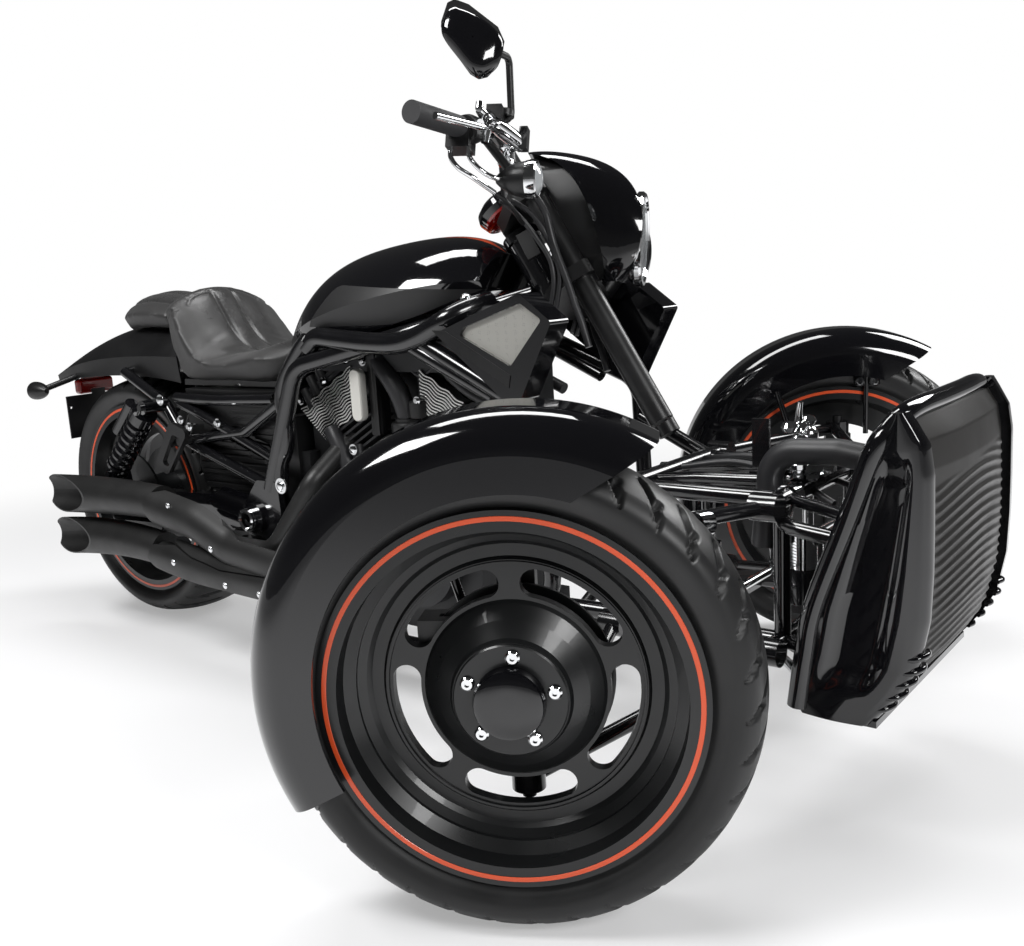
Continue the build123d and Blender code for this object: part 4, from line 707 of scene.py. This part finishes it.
liner = Shape(bar_turn)
rows = []
for z in np.linspace(COWL_ROWS[0, 0] + 3, COWL_ROWS[-1, 0] - 9, 30):
    rear, front, half_rear, half_mid, half_front = row_at(COWL_ROWS, z)
    reach = 30.0 * math.sin(math.pi * min(1.0, max(0.0, (z - 815) / 245.0))) ** 0.5
    line = [(-(half_rear - 8) * 0.2, rear + reach + 1), (-(half_rear - 9), rear + reach),
        (-(half_rear - 7), rear + 4), (-(half_mid - 7), (rear + front) / 2), (-(half_front - 8), front + 24),
        (0, front + 24)]
    line += [(-x, y) for x, y in reversed(line[:-1])]
    rows.append([(x, y, z) for x, y in line])
liner.skin(rows)
liner.make("cowl_liner", "satin_black", "bars")

trim = Shape(bar_turn)
ring = []
for index in range(64):
    angle = 2 * math.pi * index / 64
    out = np.array([math.cos(angle), 0, math.sin(angle)])
    ring.append([np.array([0, y, LAMP_Z]) + out * r for y, r in LAMP_RING])
trim.grid(ring, close_u=True, close_v=True)
trim.make("lamp_trim", "chrome", "bars")

band = Shape(bar_turn)
for side in (-1, 1):
    rows = []
    for z in np.linspace(846, 985, 24):
        rear, front, half_rear, half_mid, half_front = row_at(COWL_ROWS, z)
        rows.append([(side * (half_front + 0.4), front - 0.6, z), (side * (half_front + 3.0), front + 1.5, z),
            (side * (half_front + 3.6), front + 8.0, z), (side * (half_front + 1.6), front + 13.5, z)])
    band.grid(rows)
band.make("cowl_edge_band", "polished", "bars")

MIRROR_OUTLINE = np.array([
    (-1191, 1187), (-1214, 1181.6), (-1241, 1169.9), (-1263, 1152.8), (-1274, 1133), (-1268, 1101.5),
    (-1252, 1083.5), (-1238, 1079), (-1224, 1085.3), (-1202, 1108.7), (-1181, 1133), (-1173, 1151.9),
    (-1180, 1178.9),
])
for side, name in SIDES:
    ring, lens = Shape(bar_turn), Shape(bar_turn)
    spot, ahead = np.array([side * 250, -1312, 948.0]), np.array([0, -1.0, 0])
    ring.spin([(-9, 29.6), (-9, 31.2), (3, 32.4), (8, 31.4), (10, 27.6), (4, 26.6)], spot, ahead, 48)
    ring.make(f"signal_ring_{name}", "chrome", "bars")
    lens.spin([(2, 28), (9, 26), (15, 18), (18, 8), (18.6, 0)], spot, ahead, 40)
    lens.make(f"signal_lens_{name}", "lamp_glass", "bars")

    chrome = Shape(bar_turn)
    chrome.tube(mirror(side, ((298, -1226, 1050), (280, -1234, 1043), (246, -1252, 1037), (216, -1270, 1030),
        (202, -1280, 1020))), [7, 10.5, 14, 15, 9], 18)
    chrome.tube([(side * 296, -1225, 1052), (side * 294, -1225, 1064)], 6.5, 14)
    chrome.tube([(side * 272, -1232, 1024), (side * 272, -1232, 1004)], [10, 6.5], 16)
    chrome.spin([(0, 0), (0, 14), (4, 16), (9, 14), (12, 9), (24, 9), (28, 15), (33, 15), (33, 0)],
        (side * 190, -1251, 994), UP, 28)
    chrome.box((side * 208, -1284, 1034), (22, 14, 38))
    chrome.tube(mirror(side, ((290, -1236, 1040), (330, -1232, 1012), (380, -1212, 997), (424, -1194, 990),
        (440, -1190, 988))), [6, 5.5, 5, 5, 6.5], 14, smooth=6)
    for line in (((300, -1182, 987), (300, -1183, 970), (298, -1196, 953), (292, -1218, 940), (280, -1234, 931),
            (262, -1252, 922)), ((280, -1205, 1007), (280, -1208, 981), (278, -1220, 964), (270, -1238, 951),
            (262, -1256, 946), (250, -1264, 952))):
        chrome.tube(mirror(side, line), 4.2, 12, smooth=6)
    for x, y, z in ((300, -1182, 990), (280, -1205, 1010)):
        chrome.tube([(side * x, y, z - 4), (side * x, y, z + 12)], 6, 6)
    chrome.make(f"bar_hardware_{name}", "chrome", "bars")

    dark = Shape(bar_turn)
    dark.tube(mirror(side, ((306, -1205, 1014), (290, -1207, 1020), (272, -1212, 1026))), [23, 25, 22], 22)
    dark.box((side * 292, -1196, 1000), (44, 40, 34))
    dark.box((side * 255, -1246, 1056), (52, 26, 22))
    dark.spin([(0, 0), (0, 15), (10, 15), (12, 13), (12, 0)], (side * 246, -1258, 1058), UP, 24)
    dark.spin([(0, 0), (0, 24), (5, 26), (9, 24), (9, 0)], (side * 300, -1199, 1012), (-side * 0.94, -0.32, 0.11),
        28)
    dark.box((side * 80, -1274, 886), (6, 26, 52), [(1, 0, 0), (0, 0.87, -0.5), (0, 0.5, 0.87)])
    dark.tube(mirror(side, ((262, -1250, 922), (236, -1270, 912), (160, -1280, 900))), 4, 10, smooth=5)
    dark.make(f"bar_switches_{name}", "satin_black", "bars")

    lines = Shape(bar_turn)
    lines.tube(mirror(side, ((180, -1298, 950), (170, -1303, 944), (150, -1316, 924), (142, -1325, 895),
        (138, -1333, 869), (136, -1348, 833), (134, -1363, 798), (132, -1376, 763), (130, -1389, 733),
        (127, -1404, 690))), 6.6, 14, smooth=5)
    for line in (((200, -1264, 930), (190, -1271, 929), (160, -1296, 916), (140, -1316, 891), (134, -1338, 843),
            (130, -1346, 808), (118, -1340, 759)), ((180, -1241, 937), (170, -1252, 931), (150, -1281, 906),
            (140, -1304, 877), (134, -1327, 843), (128, -1335, 804), (116, -1330, 763))):
        lines.tube(mirror(side, line), 4.6, 12, smooth=5)
    lines.make(f"control_cables_{name}", "hose_rubber", "bars")

    shell = Shape()
    closed = curve_through(np.vstack([MIRROR_OUTLINE, MIRROR_OUTLINE[:1]]), 6)[:-1]
    centre = closed.mean(axis=0)
    rows = []
    for scale, x in ((0.99, 352), (1.0, 358), (0.985, 363), (0.93, 368), (0.8, 372), (0.55, 375), (0.25, 376),
            (0.02, 376.3)):
        rows.append([(side * x, *(centre + (point - centre) * scale)) for point in closed])
    rows = [turned(row, (side * 354, -1240, 0), UP, -side * math.radians(18)) for row in rows]
    shell.grid([bar_turn(row) for row in rows], close_v=True)
    shell.make(f"mirror_shell_{name}", "gloss_black", "bars")

Shape(bar_turn).spin([(0, 0), (0, 52), (12, 56), (24, 52), (34, 38), (39, 0)], (0, -1212, 968), (0, 0.6, 0.8),
    40).make("instrument_pod", "gloss_black", "bars")
Shape(bar_turn).spin([(-9, 0), (-9, 42), (-5, 50), (0, 51.5), (0, 0)], (0, -1212, 968), (0, 0.6, 0.8),
    40).make("instrument_lens", "red_lens", "bars")


# Radiator surround and nose with the rounded forms of the real ones

# half widths of the panels outside and inside and of the nose, and the sizes of its ribs
PANEL_X, PANEL_INNER_X, NOSE_X = 227.0, 208.0, 212.0
SWELL, SCOOP_DEPTH = 5.0, 17.0
NOSE_BACK, NOSE_FULLNESS = 18.0, 26.0
RIB_PITCH, RIB_RISE, RIB_ARCH = 15.5, 3.0, 36.0
# height, y of the rear edge, y of the front edge
SIDE_TABLE = np.array([
    (186, -1896, -1996), (205, -1885, -2012), (240, -1888, -2038), (280, -1896, -2060), (351, -1908, -2074),
    (420, -1934, -2077), (483, -1960, -2077), (560, -1991, -2076), (600, -2006, -2070), (630, -2020, -2052),
    (644, -2028, -2042),
], float)

surround = Shape()
for side in (-1, 1):
    rows = []
    for z in np.linspace(SIDE_TABLE[0, 0], SIDE_TABLE[-1, 0], 64):
        rear, front = row_at(SIDE_TABLE, z)
        high = step(z, 232, 36) * step(z, 588, -50)
        outer, inner = [], []
        for share in np.linspace(0, 1, 22):
            low = step(share, 0.2, 0.1) * step(share, 0.74, -0.12)
            low = low * low * (3 - 2 * low) * high * high * (3 - 2 * high)
            turn_in = 13.0 * step(share, 0.9, 0.1) ** 2
            swell = SWELL * math.sin(math.pi * share)
            y = rear + share * (front - rear)
            outer.append((side * (PANEL_X + swell - SCOOP_DEPTH * low - turn_in), y, z))
            inner.append((side * (PANEL_INNER_X - 0.4 * turn_in), y, z))
        rows.append(outer + inner[::-1])
    surround.skin(rows)
    for z in range(214, 299, 21):
        front = row_at(SIDE_TABLE, z)[1]
        louvre = [(224, front + 24, z - 2), (222, front + 6, z), (214, front - 2, z + 2), (200, front - 6, z + 3),
            (186, front - 2, z + 3)]
        surround.tube(mirror(side, louvre), 4.2, 10, smooth=5)
rim = [(-225, -1888, 196), (-225, -1900, 280), (-225, -1915, 357), (-225, -1962, 483), (-223, -1998, 582),
    (-211, -2015, 616), (-184, -2027, 635), (-130, -2032, 641), (-60, -2034, 641)]
rim += mirror(-1, reversed(rim))
surround.tube(rim, 15.5, 20, smooth=7)
surround.box((0, -1950, 188), (440, 110, 10))
skin = surround.make("shroud_skin", "gloss_black", sharp=50)
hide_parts("radiator_shroud")

nose = Shape()
rows = []
for z in np.linspace(190, 642, 231):
    front = row_at(SIDE_TABLE, z)[1]
    fullness = NOSE_FULLNESS * math.sin(math.pi * step(z, 168, 520)) ** 0.6
    row = []
    for u in np.linspace(-1, 1, 57):
        fade = step(abs(u), 0.84, -0.06)
        fade = fade * step(z, 236, 8) * np.clip((548 - z + 14 * u) / 10, 0, 1)
        phase = ((z + RIB_ARCH * u * u) / RIB_PITCH) % 1.0
        rib = RIB_RISE * fade * np.clip(1.5 - abs(phase - 0.5) * 5.0, 0, 1)
        row.append((u * NOSE_X, front + NOSE_BACK - fullness * (1 - abs(u) ** 2.4) - rib, z))
    rows.append(row)
back = [[(x, y + 6, z) for x, y, z in row] for row in rows]
nose.grid(rows)
nose.grid(back)
shell = nose.make("nose_shell", "nose_plastic", sharp=50)
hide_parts("radiator_nose")


# Front end: clamps on the cross tubes, damper rings, dish lever, brackets, fender stays

metal, dark, rubber = Shape(), Shape(), Shape()
LEVER_X, LEVER_Y, DAMPER_X, DAMPER_Y = -35, -1812, -60, -1829
for x, y, z, axis in ((-112, -1830, 490, (1, 0, 0)), (-300, -1775, 482, (0.94, -0.34, -0.05)),
        (112, -1830, 490, (1, 0, 0))):
    metal.spin([(-12, 17.2), (-12, 19.6), (12, 19.6), (12, 17.2)], (x, y, z), axis, 36)
for z in np.arange(362, 420, 5.2):
    metal.spin([(0, 20), (0, 22.6), (3.0, 22.6), (3.0, 20)], (DAMPER_X, DAMPER_Y, z), UP, 40)
metal.spin([(0, 0), (0, 21), (62, 21), (62, 0)], (DAMPER_X, DAMPER_Y, 360), UP, 40)
DISH = [(0, 0), (0, 47), (4, 50), (10, 50), (12, 40), (16, 40), (18, 46), (26, 46), (28, 26), (34, 18), (46, 15),
    (50, 0)]
metal.spin(DISH, (LEVER_X, LEVER_Y, 506), UP, 48)
for x, z in ((-35, 556), (-35, 578), (-72, 582), (2, 582)):
    metal.spin([(0, 0), (3, 10), (10, 14), (17, 10), (20, 0)], (x, -1812, z), UP, 24)
metal.tube([(-72, -1812, 592), (2, -1812, 592)], 5, 14)
metal.tube([(-35, -1812, 592), (-33, -1812, 612), (-37, -1816, 628)], [7, 5, 4], 12)
dark.spin([(0, 0), (0, 24), (52, 24), (58, 21), (58, 0)], (DAMPER_X, DAMPER_Y, 302), UP, 40)
dark.box((-60, -1758, 560), (6, 30, 84))
for side, name in SIDES:
    dark.tube(mirror(side, ((60, -1790, 500), (60, -1640, 494), (60, -1500, 480))), 12, 16)
    dark.tube(mirror(side, ((130, -1830, 468), (190, -1860, 462), (205, -1960, 452))), 12, 16, smooth=6)
    dark.tube(mirror(side, ((140, -1830, 262), (180, -1900, 258), (205, -1985, 246))), 11, 16, smooth=6)
    metal.tube(mirror(side, ((150, -1835, 232), (176, -1860, 232), (196, -1880, 228), (204, -1900, 214))), 8, 14,
        smooth=6)
    metal.bolt((side * 147, -1885, 432), (0, -1, 0), 7, 7)
    metal.bolt((side * 220, -1905, 238), (side, 0, 0), 8, 7)
    metal.bolt((side * 150, -1838, 474), (0, -1, 0), 6, 6)
    rubber.tube(mirror(side, ((40, -1600, 508), (30, -1700, 520), (36, -1800, 500), (60, -1880, 470))), 6, 12,
        smooth=6)
metal.make("front_clamps", "chrome")
dark.make("front_brackets", "frame_black")
rubber.make("front_hoses", "hose_rubber")

for side, name in SIDES:
    body = f"knuckle_{name}"
    bolts = Shape(wheel_turn(side))
    inner_x = side * (WHEEL_X - 76)
    for y in (-1715, -1684):
        bolts.bolt((inner_x, y, 586), (-side, 0, 0), 7, 7)
    bolts.make(f"fender_bolts_{name}", "chrome", body)
    stay = Shape(wheel_turn(side))
    stay.tube([(inner_x + side * 4, -1697, 474), (inner_x + side * 2, -1697, 600)], 5.5, 12)
    stay.box((inner_x + side * 3, -1699, 590), (4, 54, 22))
    stay.make(f"fender_stay_{name}", "gloss_black", body)


# Seat and pillion pad: leather over foam

SEAMS = {
    "seat": [
        [(30, -296, 872), (70, -286, 850), (96, -276, 805), (98, -262, 750), (97, -300, 690), (95, -368, 668),
            (95, -501, 672), (70, -660, 690)],
        [(30, -299, 862), (30, -357, 793), (30, -409, 725), (30, -480, 694), (30, -700, 700)],
        [(150, -315, 841), (150, -236, 784), (150, -202, 724), (150, -217, 669), (150, -253, 635)],
    ],
    "pillion_pad": [
        [(30, -300, 900), (30, -150, 900), (30, 200, 900)],
        [(110, -290, 900), (110, -60, 900), (100, 150, 880)],
    ],
}


def seam_tree(mesh, lines):
    """Search tree over points of a mesh that lie nearest to its seam lines."""
    surface = BVHTree.FromPolygons([v.co.copy() for v in mesh.vertices], [tuple(f.vertices) for f in mesh.polygons])
    spots = []
    for line in lines:
        for x, y, z in curve_through(line, 60):
            for side in (-1, 1):
                spots.append(surface.find_nearest(Vector((side * x / 1000, y / 1000 + SHIFT, z / 1000)))[0])
    tree = KDTree(len(spots))
    for index, spot_at in enumerate(spots):
        tree.insert(spot_at, index)
    tree.balance()
    return tree


def apply_modifiers(obj, *names):
    with bpy.context.temp_override(object=obj):
        for name in names:
            bpy.ops.object.modifier_apply(modifier=name)


VOXEL = 0.008
SEAM_HELD, MOST_SWELL = 0.009, 0.003
# depth and width of the crease itself and of the shallow valley round it
CREASE, VALLEY = (0.0034, 0.0042), (0.0016, 0.014)


def inflate(obj, held, most):
    """Cloth under pressure, held at its seams and underside; no point moves further than `most`."""
    start = [v.co.copy() for v in obj.data.vertices]
    group = obj.vertex_groups.new(name="held")
    for index, weight in enumerate(held):
        group.add([index], weight, "REPLACE")
    cloth = obj.modifiers.new("cloth", "CLOTH").settings
    cloth.use_pressure = True
    cloth.uniform_pressure_force = 4.0
    cloth.bending_stiffness = 8.0
    cloth.effector_weights.gravity = 0.0
    cloth.vertex_group_mass = "held"
    cloth.quality = 4
    for number in range(1, 13):
        bpy.context.scene.frame_set(number)
    apply_modifiers(obj, "cloth")
    bpy.context.scene.frame_set(1)
    for vertex, first in zip(obj.data.vertices, start):
        move = vertex.co - first
        if move.length > most:
            vertex.co = first + move * (most / move.length)
    obj.vertex_groups.clear()


def soft_pad(node_name, new_name):
    """Leather pad grown from the plain CAD solid: seams pulled in, panels swollen between them."""
    source = frame["nodes"][node_name]
    mesh = source.data.copy()
    mesh.transform(source.matrix_world)
    obj = show(new_name, mesh)
    bpy.context.view_layer.update()
    bpy.context.view_layer.objects.active = obj
    remesh = obj.modifiers.new("remesh", "REMESH")
    remesh.mode = "VOXEL"
    remesh.voxel_size = VOXEL
    smooth = obj.modifiers.new("smooth", "SMOOTH")
    smooth.iterations = 8
    smooth.factor = 0.6
    apply_modifiers(obj, "remesh", "smooth")
    seams = seam_tree(obj.data, SEAMS[node_name])
    held = []
    for vertex in obj.data.vertices:
        near = seams.find(vertex.co)[2]
        held.append(1.0 if vertex.normal.z < -0.2 or near < SEAM_HELD else 0.0)
    inflate(obj, held, MOST_SWELL)
    split = obj.modifiers.new("split", "SUBSURF")
    split.levels = 1
    apply_modifiers(obj, "split")
    moved = []
    for vertex in obj.data.vertices:
        near = seams.find(vertex.co)[2]
        groove = sum(depth * math.exp(-((near / width) ** 2)) for depth, width in (CREASE, VALLEY))
        moved.append(vertex.co - vertex.normal * groove)
    for vertex, spot_at in zip(obj.data.vertices, moved):
        vertex.co = spot_at
    obj.data.materials.clear()
    obj.data.materials.append(MATS["seat_leather"])
    obj.data.shade_smooth()
    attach(obj, "chassis")
    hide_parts(node_name)


soft_pad("seat", "seat_hide")
soft_pad("pillion_pad", "pillion_hide")


# Rear: seat rails, case and block under the seat, frame and shield bolts

# x, y, z and size
REAR_BOLTS = [
    (229, -327, 614, 9), (214, -377, 567, 7), (214, -408, 552, 7), (226, -736, 441, 6), (210, -147, 488, 8),
]
SHIELD_BOLTS = [(-413, 382), (-567, 300), (-420, 251), (-606, 222), (-722, 218)]
for side, name in SIDES:
    rails = Shape()
    rails.tube(mirror(side, ((170, -306, 612), (170, -436, 609), (170, -560, 613), (172, -672, 617))), 13, 18,
        smooth=5)
    rails.tube(mirror(side, ((170, -318, 598), (170, -409, 570), (170, -524, 529), (172, -672, 476))), 12, 18,
        smooth=5)
    rails.make(f"seat_rails_{name}", "frame_black")
    Shape().box((side * 84, -486, 590), (140, 330, 84)).make(f"under_seat_case_{name}", "satin_black")
    ribbed_panel(side, [(-484, 412), (-634, 393), (-636, 347), (-505, 316), (-420, 374)], 190,
        0).make(f"lower_block_{name}", "gloss_black")
    small = Shape()
    for x, y, z, size in REAR_BOLTS:
        small.bolt((side * x, y, z), (side, 0, 0), size, 7)
    small.make(f"rear_bolts_{name}", "chrome")
shield_bolts = Shape()
for y, z in SHIELD_BOLTS:
    start = Vector((-0.6, y / 1000 + SHIFT, z / 1000))
    hit, spot_at = frame["nodes"]["exhaust_shields"].ray_cast(start, Vector((1, 0, 0)))[:2]
    if hit:
        shield_bolts.bolt((spot_at.x * 1000, y, z), (-1, 0, 0), 5, 4, 16)
shield_bolts.make("shield_bolts", "chrome")


# Stage, lights and camera

FLOOR_HALF = 30.0
# share of the floor's glow that glossy rays see, and of the sky that diffuse and level glossy rays see
FLOOR_GLOSS, SKY_DIFFUSE, SKY_LEVEL, SKY_TOP = 0.16, 0.24, 0.07, 0.03


def stage():
    """Pale paper floor that fades to plain white away from the machine."""
    mesh = bpy.data.meshes.new("floor")
    corners = [(x * FLOOR_HALF, y * FLOOR_HALF, 0) for x, y in ((-1, -1), (1, -1), (1, 1), (-1, 1))]
    mesh.from_pydata(corners, [], [(0, 1, 2, 3)])
    floor = show("floor", mesh)
    mat = bpy.data.materials.new("floor_paper")
    mat.use_nodes = True
    tree = mat.node_tree
    shader = tree.nodes["Principled BSDF"]
    shader.inputs["Base Color"].default_value = (0.86, 0.86, 0.87, 1)
    shader.inputs["Roughness"].default_value = 0.55
    glow = node(tree, "Emission", Strength=1.0)
    length = node(tree, "VectorMath", operation="LENGTH")
    tree.links.new(coordinates(tree), length.inputs[0])
    far = ramp(tree, length.outputs["Value"], 1.6, 3.4, 0.35, 1.0, "SMOOTHSTEP")
    rays = node(tree, "LightPath").outputs
    seen = calc(tree, "MAXIMUM", rays["Is Camera Ray"], calc(tree, "MULTIPLY", rays["Is Glossy Ray"], FLOOR_GLOSS))
    seen = calc(tree, "MAXIMUM", seen, rays["Is Transmission Ray"])
    mix = node(tree, "MixShader")
    tree.links.new(calc(tree, "MULTIPLY", far, seen), mix.inputs[0])
    tree.links.new(shader.outputs[0], mix.inputs[1])
    tree.links.new(glow.outputs[0], mix.inputs[2])
    tree.links.new(mix.outputs[0], tree.nodes["Material Output"].inputs["Surface"])
    mesh.materials.append(mat)


def world():
    """White to the camera, dark round the machine so that black paint stays black."""
    made = bpy.data.worlds.new("studio")
    made.use_nodes = True
    bpy.context.scene.world = made
    tree = made.node_tree
    rays = node(tree, "LightPath").outputs
    seen = calc(tree, "MAXIMUM", rays["Is Camera Ray"], rays["Is Transmission Ray"])
    direction = axes_of(tree, coordinates(tree, "Generated"))
    height = ramp(tree, direction["Z"], 0.02, 0.30, SKY_LEVEL, SKY_TOP, "SMOOTHSTEP")
    top = calc(tree, "MAXIMUM", seen, calc(tree, "MULTIPLY", rays["Is Glossy Ray"], height))
    back = tree.nodes["Background"]
    tree.links.new(calc(tree, "MULTIPLY_ADD", rays["Is Diffuse Ray"], SKY_DIFFUSE, top), back.inputs["Strength"])
    back.inputs["Color"].default_value = (1, 1, 1, 1)


def lamp(name, place_at, look_at, energy, size, size_y):
    """Rectangular softbox."""
    data = bpy.data.lights.new(name, "AREA")
    data.energy = energy
    data.shape = "RECTANGLE"
    data.size = size
    data.size_y = size_y
    obj = show(name, data)
    obj.location = place_at
    obj.rotation_euler = (Vector(look_at) - Vector(place_at)).to_track_quat("-Z", "Y").to_euler()


def camera():
    """The photo's camera, as fitted to the three wheels."""
    yaw, pitch, roll, focal = 0.8937, -0.188, -0.0594, 1050.2
    forward = Vector((math.sin(yaw) * math.cos(pitch), math.cos(yaw) * math.cos(pitch), math.sin(pitch)))
    right0 = forward.cross(Vector(UP)).normalized()
    up0 = right0.cross(forward)
    right = right0 * math.cos(roll) + up0 * math.sin(roll)
    up = -right0 * math.sin(roll) + up0 * math.cos(roll)
    data = bpy.data.cameras.new("camera")
    data.sensor_width = 36.0
    data.lens = focal * data.sensor_width / 1024.0
    obj = show("camera", data)
    turn = Matrix((right, up, -forward)).transposed().to_4x4()
    obj.matrix_world = Matrix.Translation((-1.6351, -2.4984 + SHIFT, 0.8579)) @ turn
    bpy.context.scene.camera = obj


stage()
world()
lamp("key", (-2.2, 0.6, 3.2), (0, 0, 0.4), 95.0, 1.6, 1.0)
lamp("front_box", (-1.2, -3.8, 2.4), (0, -0.6, 0.4), 70.0, 1.4, 0.9)
lamp("far_box", (2.6, -1.6, 2.6), (0, 0, 0.5), 70.0, 1.2, 1.8)
lamp("top", (0.4, 0.4, 3.6), (0, 0, 0), 60.0, 2.4, 0.8)
camera()
bpy.context.scene.view_settings.view_transform = "Standard"
